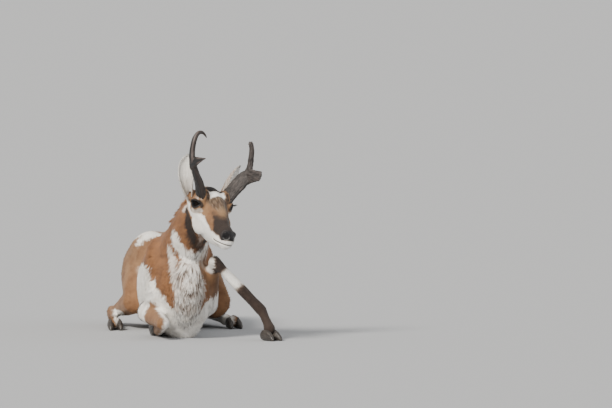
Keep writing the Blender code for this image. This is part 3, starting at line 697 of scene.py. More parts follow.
# The head's folds: the line of each, how wide it is and how far it stands out, or sinks in where
# below nothing
HEAD_FOLDS = (
    ([(ahead, out, up + 0.75) for ahead, out, up in MOUTH], 0.50, 0.07),
    ([(ahead - 0.2, out, up - 0.70) for ahead, out, up in MOUTH], 0.45, 0.10),
    (((11.2, 2.95, -4.9), (11.9, 2.95, -4.7)), 0.35, -0.12),
    # the nostril, its wing and its floor, and the cleft of the lip
    (((17.2, 0.9, -1.3), (16.9, 1.5, -0.9), (16.3, 2.0, -0.4), (15.7, 2.2, 0.0)), 0.30, -0.04),
    (((16.7, 0.7, 0.0), (16.1, 1.3, 0.5), (15.2, 1.7, 0.7)), 0.40, 0.05),
    (((17.2, 1.8, -2.0), (16.4, 2.4, -1.5), (15.5, 2.7, -0.8)), 0.40, 0.04),
    (((17.7, 0.0, -1.2), (17.9, 0.0, -2.9)), 0.12, -0.14),
    # the tear groove, the pouch under the eye, the face's ridge, the cheek and the jaw
    (((2.4, 4.8, 0.2), (4.4, 3.9, -0.6), (6.5, 3.4, -1.2)), 0.55, -0.10),
    (POUCH, 0.60, 0.10),
    (((2.2, 5.0, -2.8), (6.0, 3.9, -3.3), (10.0, 3.1, -3.2)), 0.60, 0.12),
    (((4.6, 4.4, -3.8), (5.6, 4.0, -6.0), (5.4, 3.4, -8.6)), 0.50, -0.12),
    (((-3.0, 4.0, -8.8), (1.0, 4.0, -9.6), (5.0, 3.4, -9.2)), 0.80, 0.12),
    # the bridge's side, the brow and the temple
    (((4.0, 2.3, 3.0), (8.0, 2.0, 2.1), (12.5, 1.7, 1.0)), 0.60, -0.08),
    (((-3.2, 5.6, 2.2), (-0.8, 6.1, 2.7), (1.4, 5.5, 2.6)), 0.60, 0.20),
    (((-3.8, 5.2, 0.6), (-5.6, 5.0, 0.0)), 0.90, -0.16),
)
# Where the skin is evened out, in the nostrils and where the head meets the neck: the middle and
# the reach, and how often
EVENED = (((16.3, 1.8, -0.5), 1.7, 14), ((-9.8, 0.0, 1.0), 5.0, 90), ((-9.8, 3.4, -1.6), 4.2, 90),
          ((-9.8, 1.5, 0.0), 6.0, 30))
# Half the opening of the lids at the ball: to its corners, to its top and to its bottom
EYE_CORNERS = math.radians(54)
EYE_TOP = math.radians(24)
EYE_BOTTOM = math.radians(22)
EYE_SUNK = 0.0035
EYE_FIELD = 0.037                        # how far round an eye the skin is finest


def eye_axes(side):
    """The line of an eye's lids, the way that it looks, and up across its lids."""
    looks = (FACE * 0.32 + LEFT * 0.94 * side + CROWN * 0.04).normalized()
    along = (FACE * 0.80 - LEFT * 0.27 * side + CROWN * 0.50).normalized()
    along = (along - looks * along.dot(looks)).normalized()
    across = along.cross(looks) * side
    return along, looks, -across if across.dot(CROWN) < 0 else across


def opening(angle):
    """How far from the way the eye looks its lids' edge is, at an angle round it."""
    high = np.where(np.sin(angle) > 0, EYE_TOP, EYE_BOTTOM)
    return 1 / np.sqrt((np.cos(angle) / EYE_CORNERS) ** 2 + (np.sin(angle) / high) ** 2)


def set_back_eyes(points):
    """Moves the skin in under each eyeball, inside the edge of the lids."""
    for name, side in SIDES.items():
        centre = np.array(node_middle("eye_" + name))
        along, looks, across = rows_of(eye_axes(side))
        near = size_of(points - centre) < EYE_RADIUS * 1.9
        from_eye = points[near] - centre
        far = size_of(from_eye)
        tilt = np.arccos(np.clip(from_eye @ looks / far, -1, 1))
        angle = np.arctan2(from_eye @ across, from_eye @ along)
        inside = step(math.radians(15), math.radians(4), tilt - opening(angle))
        wanted = far + (np.minimum(far, EYE_RADIUS - EYE_SUNK) - far) * inside
        points[near] = centre + from_eye / far[:, None] * wanted[:, None]


def fold_in(points, rises):
    """Points moved along their rises by the head's folds near them."""
    moved = points.copy()
    for line, width, height in HEAD_FOLDS:
        for side in SIDES.values():
            if side > 0 or any(out for _, out, _ in line):
                away, _ = from_line(points, side_line(line, side))
                moved += rises * (height * CM * np.exp(-(away / (width * CM)) ** 2))[:, None]
    return moved


def head_region(middles):
    ahead, left, up = head_places(middles).T
    return (ahead > -9.5 + 0.15 * up) & (up > -12.5) & (np.abs(left) < 9) & (ahead < 21)


def face_region(middles):
    ahead, left, up = head_places(middles).T
    fine = (ahead > 10.5) & (up > -9) & (np.abs(left) < 6) & (ahead < 21)
    for name in EYES:
        fine |= size_of(middles - np.array(node_middle(name))) < EYE_FIELD
    return fine


def coat_depth(points):
    """How deep the coat is over the skin: less near the floor."""
    return lie_of(points)[1][:, 4] / 1000 * (0.15 + 0.85 * step(0.004, 0.045, points[:, 2]))


def even_out(whole):
    for middle, reach, rounds in EVENED:
        found = half_places(np.array([vertex.co[:] for vertex in whole.verts]))
        near = size_of(found - np.array(middle)) < reach
        chosen = [vertex for vertex, take in zip(whole.verts, near) if take]
        for _ in range(rounds):
            bmesh.ops.smooth_vert(whole, verts=chosen, factor=0.5, use_axis_x=True, use_axis_y=True,
                                  use_axis_z=True)


def coronets():
    """A ball over the top of each foot's hooves, so that the leg's skin closes over them."""
    balls = []
    for leg, joints in LEG_LINES.items():
        hooves = (node_middle(leg + "_hoof_left") + node_middle(leg + "_hoof_right")) / 2
        balls.append(((BRISKET + Vector(joints[-1])).lerp(hooves, 0.30), CORONET_RADIUS))
    return balls


def comb(mesh):
    """Gives a mesh places drawn in along the hair, so that a texture on them lies as the hair does."""
    points = places(mesh) - np.array(HEAD_MIDDLE)
    way, _, _ = lie_of(places(mesh))
    give(mesh, points - way * (points * way).sum(axis=1)[:, None] * STRAND_DRAWN, "strand")


def unwrap(thing):
    """Lays out the skin's own shape in a UV map."""
    bpy.ops.object.select_all(action="DESELECT")
    thing.select_set(True)
    bpy.context.view_layer.objects.active = thing
    bpy.ops.object.mode_set(mode="EDIT")
    bpy.ops.mesh.select_all(action="SELECT")
    bpy.ops.uv.smart_project(angle_limit=math.radians(66), island_margin=0.001)
    bpy.ops.object.mode_set(mode="OBJECT")


def dress(thing, marks, paint):
    """Gives a skin its marks, the lie of its hair, its paint and its unwrap."""
    mesh = thing.data
    give(mesh, marks, "marks")
    comb(mesh)
    mesh.materials.append(paint)
    mesh.shade_smooth()
    unwrap(thing)
    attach(thing, "root")


def make_skin(paint):
    skin = melted("skin", FLESH + EYES, SKIN_VOXEL, 6, SKIN_SWELL, coronets())
    fine = melted("fine", ("head", "neck") + EYES, FINE_VOXEL, 8, FINE_SWELL)
    surface = surface_of(fine.data)
    bpy.data.objects.remove(fine)
    mesh = skin.data
    refine(mesh, head_region)
    refine(mesh, face_region)
    points = places(mesh)
    pull = step(-9.0, -6.0, head_places(points)[:, 0]) * head_region(points)
    for i in np.flatnonzero(pull):
        found = surface.find_nearest(Vector(points[i]), SNAP_REACH)[0]
        if found is not None:
            points[i] += (np.array(found) - points[i]) * pull[i]
    put(mesh, points)
    rises = normals(mesh)
    points -= rises * coat_depth(points)[:, None]
    near = np.flatnonzero(head_region(points))
    points[near] = fold_in(points[near], rises[near])
    near = near[head_places(points[near])[:, 0] > 10]
    groove = np.exp(-(from_mouth(half_places(points[near])) / MOUTH_WIDE) ** 2)
    points[near] -= rises[near] * (MOUTH_DEEP * groove)[:, None]
    set_back_eyes(points)
    points[:, 2] = np.maximum(points[:, 2], SKIN_FLOOR)
    put(mesh, points)
    edit(mesh, even_out)
    triangulate(mesh)
    dress(skin, marks_of(places(mesh)), paint)
    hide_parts(*FLESH)
    return skin


# The coat

class Skin:
    """The triangles of a skin, to grow tufts on."""

    def __init__(self, thing):
        mesh = thing.data
        self.points = places(mesh)
        self.rises = normals(mesh)
        self.corners = read(mesh.loops, "vertex_index", 1, np.int32).reshape(-1, 3)
        self.flat = read(mesh.uv_layers.active.data, "uv", 2).reshape(-1, 3, 2).astype(float)
        one, two, three = (self.points[self.corners[:, k]] for k in range(3))
        self.areas = size_of(np.cross(two - one, three - one)) / 2
        self.middles = (one + two + three) / 3

    def roots(self, density, draw):
        """Seeded places on the skin, so many to a square metre: place, rise and place on the unwrap."""
        wanted = self.areas * density
        count = draw.poisson(wanted.sum())
        chosen = draw.choice(len(wanted), size=count, p=wanted / wanted.sum())
        share = draw.random((count, 2))
        over = share.sum(axis=1) > 1
        share[over] = 1 - share[over]
        shares = np.column_stack((1 - share.sum(axis=1), share))[:, :, None]
        corners = self.corners[chosen]
        place = (self.points[corners] * shares).sum(axis=1)
        rise = unit((self.rises[corners] * shares).sum(axis=1))
        return place, rise, (self.flat[chosen] * shares).sum(axis=1)


PATCH = 0.003                            # of a tuft on the unwrap
TUFT_SINK = 0.0008                       # how deep a tuft's root is in the skin
TUFT_THICK = 0.22                        # of its breadth
TUFT_FLOOR = 0.0004
# For one ring past the root, and for two: the share of the length at each ring, and the width there
TUFT_FORMS = {1: ((0, 0.5), (0.75, 1.0)), 2: ((0, 0.34, 0.68), (0.7, 1.0, 0.72))}


def make_tufts(name, paint, place, rise, way, flat, marks, length, breadth, lift, curl, rings=1):
    """Closed, flat, tapered tufts as one mesh. Each bends back to the skin by its curl."""
    count = len(place)
    side = unit(np.cross(way, rise))
    shares, widths = TUFT_FORMS[rings]
    per = 3 * (rings + 1) + 1
    points = np.empty((count, per, 3))
    turned = np.empty((count, per, 3))
    maps = np.empty((count, per, 2))

    def spine(share):
        ahead = length * share * np.cos(lift)
        above = length * (share * np.sin(lift) - curl * share ** 2) - TUFT_SINK * (1 - share)
        return place + way * ahead[:, None] + rise * above[:, None]

    for ring, (share, width) in enumerate(zip(shares, widths)):
        first = 3 * ring
        middle = spine(share)
        half = side * (breadth * width / 2)[:, None]
        thick = rise * (breadth * TUFT_THICK * width)[:, None]
        for corner, (across, moved) in enumerate(((-1, -half), (1, half), (0, thick))):
            points[:, first + corner] = middle + moved
            turned[:, first + corner] = rise + side * across * 0.35 - way * 0.10
            maps[:, first + corner] = flat + np.array((across / 2, share - 0.5)) * PATCH
    points[:, -1] = spine(1.0)
    turned[:, -1] = rise + way * 0.25
    maps[:, -1] = flat + np.array((0, 0.5)) * PATCH
    points[:, :, 2] = np.maximum(points[:, :, 2], TUFT_FLOOR)
    sides = ((0, 1), (1, 2), (2, 0))
    faces = [(0, 2, 1)]
    for start in range(0, 3 * rings, 3):
        after = start + 3
        for one, two in sides:
            faces += [(start + one, start + two, after + two), (start + one, after + two, after + one)]
    faces += [(3 * rings + one, 3 * rings + two, per - 1) for one, two in sides]
    faces = np.array(faces)[:, ::-1]
    corners = (faces[None] + (np.arange(count) * per)[:, None, None]).reshape(-1)
    mesh = bpy.data.meshes.new(name)
    mesh.vertices.add(count * per)
    mesh.vertices.foreach_set("co", points.astype(np.float32).ravel())
    mesh.loops.add(len(corners))
    mesh.loops.foreach_set("vertex_index", corners.astype(np.int32))
    mesh.polygons.add(len(corners) // 3)
    mesh.polygons.foreach_set("loop_start", np.arange(0, len(corners), 3, dtype=np.int32))
    mesh.update(calc_edges=True)
    layer = mesh.uv_layers.new(name="OFBake")
    spread = np.clip(maps.reshape(-1, 2)[corners], 0.0005, 0.9995)
    layer.data.foreach_set("uv", spread.astype(np.float32).ravel())
    give(mesh, np.repeat(marks, per, axis=0), "marks")
    tone = np.random.default_rng(count).random(count)
    along = np.tile(np.append(np.repeat(shares, 3), 1.0), count)
    halves = np.concatenate([(-width / 2, width / 2, 0) for width in widths] + [(0,)])
    across = (breadth[:, None] * halves).ravel() * 1000
    give(mesh, np.column_stack((np.repeat(tone, per), along, across)), "strand")
    mesh.shade_smooth()
    mesh.normals_split_custom_set_from_vertices(unit(turned).reshape(-1, 3).tolist())
    thing = new_thing(name, mesh, paint)
    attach(thing, "root")


TAIL_TIP = Vector((0.073, 0.893, 0.112))
TUFT_CURL = 0.04


def grow_coat(skin, paint):
    """Tufts all over the skin, in one piece for each part of the body."""
    draw = np.random.default_rng(11)
    triangles = Skin(skin)
    middles = triangles.middles
    density = lie_of(middles)[1][:, 3] * 1e4
    density *= 1 - step(0.3, 0.7, marks_of(middles)[:, 3])
    for name in SIDES:
        away = size_of(middles - np.array(node_middle("eye_" + name)))
        density *= step(EYE_RADIUS * 1.25, EYE_RADIUS * 1.5, away)
    density *= step(0.10, 0.32, from_mouth(half_places(middles)))
    density *= step(0.001, 0.004, middles[:, 2])
    density *= step(0.012, 0.020, size_of(middles - (np.array(BRISKET) + np.array(TAIL_TIP))))
    place, rise, flat = triangles.roots(density, draw)
    way, sizes, kind = lie_of(place)
    swirl = np.stack([waves(place, 0.06, seed) for seed in (21, 22, 23)], axis=1) * 0.16
    way = laid(way + swirl + draw.normal(size=way.shape) * 0.10, rise)
    muzzle = step(9.0, 14.0, head_places(place)[:, 0])
    length = sizes[:, 0] / 1000 * draw.uniform(0.7, 1.25, len(place)) * (1 - 0.55 * muzzle)
    breadth = sizes[:, 1] / 1000 * draw.uniform(0.8, 1.25, len(place)) * (1 - 0.35 * muzzle)
    lift = np.radians(sizes[:, 2]) * draw.uniform(0.5, 1.5, len(place))
    marks = marks_of(place + way * (length * 0.5)[:, None])
    owners = np.array([coat[5] for coat in COATS.values()])[kind]
    for piece in np.unique(owners):
        of = owners == piece
        make_tufts(str(piece), paint, place[of], rise[of], way[of], flat[of], marks[of],
                   length[of], breadth[of], lift[of], np.full(of.sum(), TUFT_CURL))


MANE_TUFTS = 30e4                        # to a square metre
MANE_LENGTH = 0.040
MANE_BREADTH = 0.0022
MANE_CURL = 0.07


def grow_mane(skin, paint):
    """A low dark mane along the nape, of longer tufts."""
    draw = np.random.default_rng(71)
    triangles = Skin(skin)
    line = body_line(BODY_LIE["nape"])
    away, share = from_line(triangles.middles, line)
    density = MANE_TUFTS * step(0.024, 0.008, away) * step(1.0, 0.8, share)
    place, rise, flat = triangles.roots(density, draw)
    away, share = from_line(place, line)
    way, _, _ = lie_of(place)
    way = laid(way + draw.normal(size=way.shape) * 0.12, rise)
    count = len(place)
    marks = marks_of(place)
    marks[:, 1] = most(marks[:, 1], 0.55 * step(0.018, 0.006, away))
    marks[:, 0] *= 0.5
    length = MANE_LENGTH * (1 - 0.4 * share) * draw.uniform(0.7, 1.2, count)
    make_tufts("mane", paint, place, rise, way, flat, marks, length, np.full(count, MANE_BREADTH),
               np.radians(draw.uniform(6, 12, count)), np.full(count, MANE_CURL), rings=2)


# The materials

class Paint:
    """A procedural material. Its methods add nodes to it, and give what these make."""

    def __init__(self, name, inputs):
        self.material = bpy.data.materials.new(name)
        self.material.use_nodes = True
        self.tree = self.material.node_tree
        self.shader = self.tree.nodes["Principled BSDF"]
        self.fill(self.shader, inputs)

    def fill(self, made, inputs):
        """Sets a node's inputs, by name or number, to values or to other nodes' sockets."""
        for key, value in inputs.items():
            socket = made.inputs[key]
            if isinstance(value, bpy.types.NodeSocket):
                self.tree.links.new(value, socket)
            else:
                socket.default_value = (*value, 1) if socket.type == "RGBA" else value

    def node(self, kind, inputs, **settings):
        made = self.tree.nodes.new("ShaderNode" + kind)
        for name, value in settings.items():
            setattr(made, name, value)
        self.fill(made, inputs)
        return made.outputs

    def place(self):
        return self.node("TexCoord", {})["Object"]

    def attribute(self, name):
        return self.node("Attribute", {}, attribute_name=name)

    def split(self, name):
        """The three numbers that the mesh holds under a name."""
        return self.node("SeparateXYZ", {"Vector": self.attribute(name)["Vector"]})

    def noise(self, scale, detail, place=None):
        place = self.place() if place is None else place
        return self.node("TexNoise", {"Vector": place, "Scale": scale, "Detail": detail})["Fac"]

    def mix(self, factor, one, other, blend="MIX"):
        return self.node("Mix", {0: factor, 6: one, 7: other}, data_type="RGBA", blend_type=blend)[2]

    def math(self, kind, one, other):
        return self.node("Math", {0: one, 1: other}, operation=kind)[0]

    def times(self, one, other):
        return self.math("MULTIPLY", one, other)

    def ranged(self, value, low, high, to_low=0.0, to_high=1.0):
        return self.node("MapRange", {"Value": value, "From Min": low, "From Max": high, "To Min": to_low,
                                      "To Max": to_high})["Result"]

    def finish(self, color, rough, height, strength, distance):
        """Sets the shader's colour, roughness and bump."""
        bump = self.node("Bump", {"Height": height, "Strength": strength, "Distance": distance})["Normal"]
        self.fill(self.shader, {"Base Color": color, "Roughness": rough, "Normal": bump})
        return self.material


TAN = (0.245, 0.110, 0.046)
TAN_DARK = (0.160, 0.074, 0.035)
HAUNCH = (0.250, 0.158, 0.086)
WHITE = (0.84, 0.81, 0.76)
WHITE_SHADE = (0.62, 0.57, 0.50)
DARK = (0.011, 0.0085, 0.008)
DARK_LIGHT = (0.034, 0.024, 0.021)
NOSE = (0.006, 0.005, 0.006)
HORN_BROWN = ((0.014, 0.010, 0.009), (0.042, 0.028, 0.022))
HORN_EDGE = (0.007, 0.006, 0.006)
# The colour of the painted highlight on the smooth horn
HORN_PAINTED_HIGHLIGHT = (0.120, 0.090, 0.082)
HORN_WORN = ((0.016, 0.012, 0.011), (0.082, 0.066, 0.060))
HORN_CLOUD = (0.013, 0.010, 0.009)
HORN_PALE = (0.20, 0.165, 0.135)
HOOF = ((0.016, 0.014, 0.013), (0.055, 0.045, 0.038))
HOOF_DUST = (0.11, 0.09, 0.075)
IRIS_COLORS = ((0.004, 0.0022, 0.0015), (0.010, 0.005, 0.003))
IRIS_EDGE = (0.003, 0.0025, 0.002)
EYE_WHITE = ((0.012, 0.009, 0.007), (0.006, 0.005, 0.004))
PUPIL_COLOR = (0.001, 0.001, 0.0015)


def coat_paint(name, hair):
    """The coat's colours from its marks, on the skin or on the tufts."""
    paint = Paint(name, {"Specular IOR Level": 0.25, "Sheen Weight": 0.10, "Sheen Roughness": 0.5})
    marks = paint.attribute("marks")
    bare = marks["Alpha"]
    white, dark, rust = paint.node("SeparateColor", {"Color": marks["Color"]})
    drawn = {0: paint.attribute("strand")["Vector"], 1: (41, 2.2, 3.2) if hair else (1100, 1100, 1100)}
    grain = paint.noise(1.0, 3.0, paint.node("VectorMath", drawn, operation="MULTIPLY")["Vector"])
    cloud = paint.noise(26, 3.0)
    tan = paint.mix(paint.ranged(cloud, 0.40, 0.75), paint.mix(rust, HAUNCH, TAN), TAN_DARK)
    pale = paint.mix(paint.ranged(cloud, 0.45, 0.85), WHITE, WHITE_SHADE)
    black = paint.mix(paint.ranged(grain, 0.3, 0.8), DARK, DARK_LIGHT)
    color = paint.mix(bare, paint.mix(dark, paint.mix(white, tan, pale), black), NOSE)
    tone = paint.ranged(grain, 0.25, 0.75, 0.80, 1.12)
    if hair:
        own, along, _ = paint.split("strand")
        # each tuft is painted darker towards its root: painted shade where the tufts lie over each other
        tone = paint.times(tone, paint.ranged(along, 0.0, 0.5, 0.87, 1.0))
        tone = paint.times(tone, paint.ranged(own, 0, 1, 0.93, 1.06))
    gray = paint.node("CombineColor", {0: tone, 1: tone, 2: tone})[0]
    rough = paint.math("SUBTRACT", paint.ranged(grain, 0.2, 0.8, 0.66, 0.92), paint.times(bare, 0.45))
    pores = paint.node("TexVoronoi", {"Scale": 900.0, "Vector": paint.place()})["Distance"]
    height = paint.mix(bare, grain, paint.times(pores, 0.12))
    color = paint.mix(1.0, color, gray, "MULTIPLY")
    return paint.finish(color, rough, height, 0.30 if hair else 0.6, 0.0006)


def horn_paint():
    """Dark horn with a browner front and a painted highlight on the outer side of its upper beam on the
    smooth one, and grey, barky horn on the rough one.
    """
    paint = Paint("horn", {})
    share, rough, outward = paint.split("horn")
    streak = paint.noise(420, 4.0, paint.attribute("grain")["Vector"])
    cloud = paint.noise(60, 4.0)
    fine = paint.noise(650, 3.0)
    middle = paint.ranged(paint.math("ABSOLUTE", outward, 0.0), 0.80, 0.25)
    smooth = paint.mix(middle, HORN_EDGE, paint.mix(paint.ranged(streak, 0.35, 0.65), *HORN_BROWN))
    # a painted highlight on the outer side of the smooth horn's upper beam
    painted_highlight = paint.times(paint.ranged(outward, 0.20, 0.55), paint.ranged(outward, 0.95, 0.70))
    painted_highlight = paint.times(painted_highlight, paint.ranged(share, 0.42, 0.56))
    smooth = paint.mix(paint.times(painted_highlight, 0.7), smooth, HORN_PAINTED_HIGHLIGHT)
    worn = paint.mix(paint.ranged(streak, 0.35, 0.68), *HORN_WORN)
    worn = paint.mix(paint.ranged(cloud, 0.45, 0.65, 0.0, 0.75), worn, HORN_CLOUD)
    worn = paint.mix(paint.ranged(outward, 0.70, 0.86, 0.0, 0.8), worn, HORN_PALE)
    dull = paint.math("ADD", paint.ranged(fine, 0.25, 0.75, 0.30, 0.50), paint.times(rough, 0.25))
    height = paint.math("ADD", streak, paint.times(fine, 0.35))
    return paint.finish(paint.mix(rough, smooth, worn), dull, height, 0.8, 0.0007)


def hoof_paint():
    """Dark horn in level rings, dusty in places."""
    paint = Paint("hoof", {})
    drawn = paint.node("Mapping", {"Vector": paint.place(), "Scale": (60, 60, 900)})["Vector"]
    rings = paint.noise(1.0, 3.0, drawn)
    cloud = paint.noise(120, 3.0)
    color = paint.mix(paint.ranged(rings, 0.35, 0.7), *HOOF)
    color = paint.mix(paint.ranged(cloud, 0.55, 0.8), color, HOOF_DUST)
    return paint.finish(color, paint.ranged(cloud, 0.3, 0.7, 0.30, 0.55), rings, 0.45, 0.0006)


def eye_paint():
    """A dark brown iris with a long, level pupil, under a wet surface."""
    paint = Paint("eye", {"Specular IOR Level": 0.0, "Coat IOR": 1.30, "Coat Weight": 0.6,
                          "Coat Roughness": 0.02})
    pupil, tilt, _ = paint.split("gaze")
    rays = paint.noise(160, 3.0)
    iris = paint.mix(paint.ranged(rays, 0.3, 0.7), *IRIS_COLORS)
    iris = paint.mix(paint.ranged(tilt, 0.75, 1.0), iris, IRIS_EDGE)
    white = paint.mix(paint.ranged(rays, 0.3, 0.7), *EYE_WHITE)
    color = paint.mix(paint.ranged(tilt, 0.97, 1.04), iris, white)
    color = paint.mix(paint.ranged(pupil, 0.94, 1.06), PUPIL_COLOR, color)
    return paint.finish(color, paint.ranged(rays, 0.2, 0.8, 0.03, 0.07), rays, 0.05, 0.0002)


# The eyes

PUPIL = (math.radians(21), math.radians(11))   # half its angle at the ball, along and across
IRIS = math.radians(43)
BULGE = 0.035                            # of the ball's radius, at its front
BULGE_REACH = math.radians(34)
EYE_RINGS = 48


def make_eyes(paint):
    for name, side in SIDES.items():
        along, looks, across = eye_axes(side)
        mesh = made("eyeball_" + name, bmesh.ops.create_uvsphere, u_segments=2 * EYE_RINGS,
                    v_segments=EYE_RINGS, radius=1.0)
        local = places(mesh)
        tilt = np.arccos(np.clip(local[:, 2], -1, 1))
        bulge = 1 + BULGE * np.exp(-(tilt / BULGE_REACH) ** 4)
        turned = (local * bulge[:, None]) @ rows_of((along, across, looks))
        put(mesh, np.array(node_middle("eye_" + name)) + turned * EYE_RADIUS)
        angle = np.arctan2(local[:, 1], local[:, 0])
        pupil = tilt * np.sqrt((np.cos(angle) / PUPIL[0]) ** 2 + (np.sin(angle) / PUPIL[1]) ** 2)
        give(mesh, np.column_stack((pupil, tilt / IRIS, angle / math.tau + 0.5)), "gaze")
        mesh.shade_smooth()
        eye = new_thing("eyeball_" + name, mesh, paint)
        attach(eye, "root")
        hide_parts("eye_" + name)


# Rings of a lid from its edge outwards: degrees from the edge, share of the way from the
# ball to the skin, and millimetres above that
LID_RINGS = ((-4, 0.0, -0.5), (-0.5, 0.0, 0.5), (1.0, 0.0, 1.3), (3.5, 0.0, 1.9), (6.5, 0.05, 2.0),
             (9, 0.2, 1.6), (12, 0.45, 1.1), (16, 0.75, 1.1), (21, 0.93, 1.0), (27, 1.0, 0.6),
             (33, 1.0, 0.1), (38, 1.0, -1.2))
LID_STEPS = 96


def make_lids(skin, paint):
    """The lids of both eyes as one mesh, from the ball out to under the skin."""
    surface = surface_of(skin.data)
    points, faces, maps, rims = [], [], [], []
    for number, (name, side) in enumerate(SIDES.items()):
        centre = node_middle("eye_" + name)
        along, looks, across = eye_axes(side)
        for ring, (out, share, above) in enumerate(LID_RINGS):
            low = len(points)
            for k in range(LID_STEPS):
                angle = math.tau * k / LID_STEPS
                tilt = float(opening(np.array(angle))) + math.radians(out)
                around = along * math.cos(angle) + across * math.sin(angle)
                way = looks * math.cos(tilt) + around * math.sin(tilt)
                hit = surface.ray_cast(centre + way * EYE_RADIUS * 0.5, way, 0.03)[0]
                far = (hit - centre).length if hit is not None and out > 14 else EYE_RADIUS * 1.12
                thick = above * MM * (1 + 0.5 * max(math.sin(angle), 0))
                points.append(centre + way * (EYE_RADIUS + (far - EYE_RADIUS) * share + thick))
                maps.append((0.02 + 0.96 * k / LID_STEPS, (number + (ring + 1) / (len(LID_RINGS) + 1)) / 2))
                rims.append(out)
                if ring:
                    after = (k + 1) % LID_STEPS
                    face = (low - LID_STEPS + k, low - LID_STEPS + after, low + after, low + k)
                    faces.append(face if side > 0 else face[::-1])
    mesh = bpy.data.meshes.new("lids")
    mesh.from_pydata(points, [], faces)
    layer = mesh.uv_layers.new(name="UVMap")
    for loop, target in zip(mesh.loops, layer.data):
        target.uv = maps[loop.vertex_index]
    triangulate(mesh)
    marks = marks_of(places(mesh))
    rims = np.array(rims, float)
    rim = step(21.0, 13.0, rims)
    marks[:, 0] *= 1 - rim
    marks[:, 1] = most(marks[:, 1], rim)
    marks[:, 3] = step(6.0, 3.0, rims)
    give(mesh, marks, "marks")
    comb(mesh)
    mesh.shade_smooth()
    lids = new_thing("lids", mesh, paint)
    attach(lids, "root")


LASHES = 130                             # on each eye
LASH_LENGTH = 0.0145
LASH_BREADTH = 0.0009
LASH_OUT = 0.0015                        # of its root, from the ball
LASH_CURL = -0.22


def make_lashes(paint):
    """Long dark lashes on the upper lids, longest over the middle of the lid."""
    draw = np.random.default_rng(31)
    place, rise, way, length = [], [], [], []
    for name, side in SIDES.items():
        centre = np.array(node_middle("eye_" + name))
        along, looks, across = rows_of(eye_axes(side))
        for angle in np.linspace(math.radians(8), math.radians(176), LASHES):
            angle += draw.normal() * 0.02
            tilt = float(opening(np.array(angle))) + math.radians(2.5 + draw.normal() * 1.2)
            around = along * math.cos(angle) + across * math.sin(angle)
            out = looks * math.cos(tilt) + around * math.sin(tilt)
            place.append(centre + out * (EYE_RADIUS + LASH_OUT))
            lash = looks * 0.95 + around * 0.35 - across * 0.25 + draw.normal(size=3) * 0.10
            way.append(lash)
            rise.append(np.cross(np.cross(lash, across), lash))
            length.append(LASH_LENGTH * (0.55 + 0.45 * math.sin(angle)) * draw.uniform(0.8, 1.2))
    count = len(place)
    marks = np.tile((0.0, 1.0, 0.0, 0.0), (count, 1))
    flat = np.column_stack((np.linspace(0.05, 0.95, count), np.full(count, 0.5)))
    make_tufts("lashes", paint, np.array(place), unit(np.array(rise)), unit(np.array(way)), flat, marks,
               np.array(length), np.full(count, LASH_BREADTH), np.zeros(count), np.full(count, LASH_CURL),
               rings=2)


# The ears: the way that each one's cup looks, and its middle line

EARS = {
    "right": ((0.75, 0.55, 0.25),
              ((-7.2, 4.4, -2.6), (-8.3, 6.2, 0.7), (-10.2, 7.6, 4.6), (-11.8, 8.3, 7.8),
               (-12.7, 8.2, 10.4))),
    "left": ((0.72, 0.62, 0.20),
             ((-7.2, 4.4, -2.6), (-8.2, 6.6, 0.6), (-9.8, 8.6, 3.8), (-11.3, 10.3, 6.6),
              (-12.3, 11.4, 8.9))),
}
EAR_VOXEL = 0.0014
EAR_TUFTS = 34e4                         # to a square metre
EAR_CURL = 0.05


def ear_marks(points, rises, name):
    """White inside the ear, greyed near its root and along its middle by painted shade, tan behind it, and
    dark at its tip and edges.
    """
    side = SIDES[name]
    (ahead, out, up), line = EARS[name]
    faces = np.array((FACE * ahead + LEFT * out * side + CROWN * up).normalized())
    inner = step(-0.05, 0.25, rises @ faces)
    away, share = from_line(points, side_line(line, side))
    wavy = waves(points, 0.012, 41) * 0.12
    edge = step(0.45, 0.12, np.abs(rises @ faces)) * step(0.25, 0.6, share)
    behind = most(step(0.42, 0.12, share + wavy) * 0.9, 0.45 - 0.3 * wavy / 0.12)
    # inside, the greying near the root and the dark along the middle line are painted shade in the ear's
    # cup
    white = inner * (1 - 0.15 * step(0.5, 0.2, share)) + (1 - inner) * behind
    dark = most(edge * 0.25 * (1 - inner), step(0.93, 1.0, share + wavy * 0.3) * 0.6,
                inner * step(0.011, 0.002, away) * step(0.85, 0.5, share) * 0.42)
    marks = np.column_stack((white, dark, np.full(len(points), 0.6), np.zeros(len(points))))
    return marks, inner, share, faces


def make_ears(skin_paint, hair_paint):
    draw = np.random.default_rng(43)
    for name, side in SIDES.items():
        ear = melted("ear_skin_" + name, ("ear_" + name,), EAR_VOXEL, 4)
        triangulate(ear.data)
        dress(ear, ear_marks(places(ear.data), normals(ear.data), name)[0], skin_paint)
        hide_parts("ear_" + name)
        triangles = Skin(ear)
        place, rise, flat = triangles.roots(np.full(len(triangles.areas), EAR_TUFTS), draw)
        marks, inner, share, faces = ear_marks(place, rise, name)
        line = rows_of(side_line(EARS[name][1], side))
        grow = line[-1] - line[0]
        inward = faces[None] * 0.35 * inner[:, None]
        way = laid(grow / np.linalg.norm(grow) + inward + draw.normal(size=place.shape) * 0.10, rise)
        count = len(place)
        length = (0.005 + 0.006 * inner * step(0.95, 0.3, share)) * draw.uniform(0.7, 1.3, count)
        breadth = draw.uniform(0.8, 1.3, count) / 1000
        lift = np.radians(draw.uniform(3, 9, count) + 4 * inner)
        make_tufts("ear_coat_" + name, hair_paint, place, rise, way, flat, marks, length, breadth, lift,
                   np.full(count, EAR_CURL))


# The horns: each row is ahead, out and up, and half the thickness and half the breadth there, of
# the beam and then of the prong

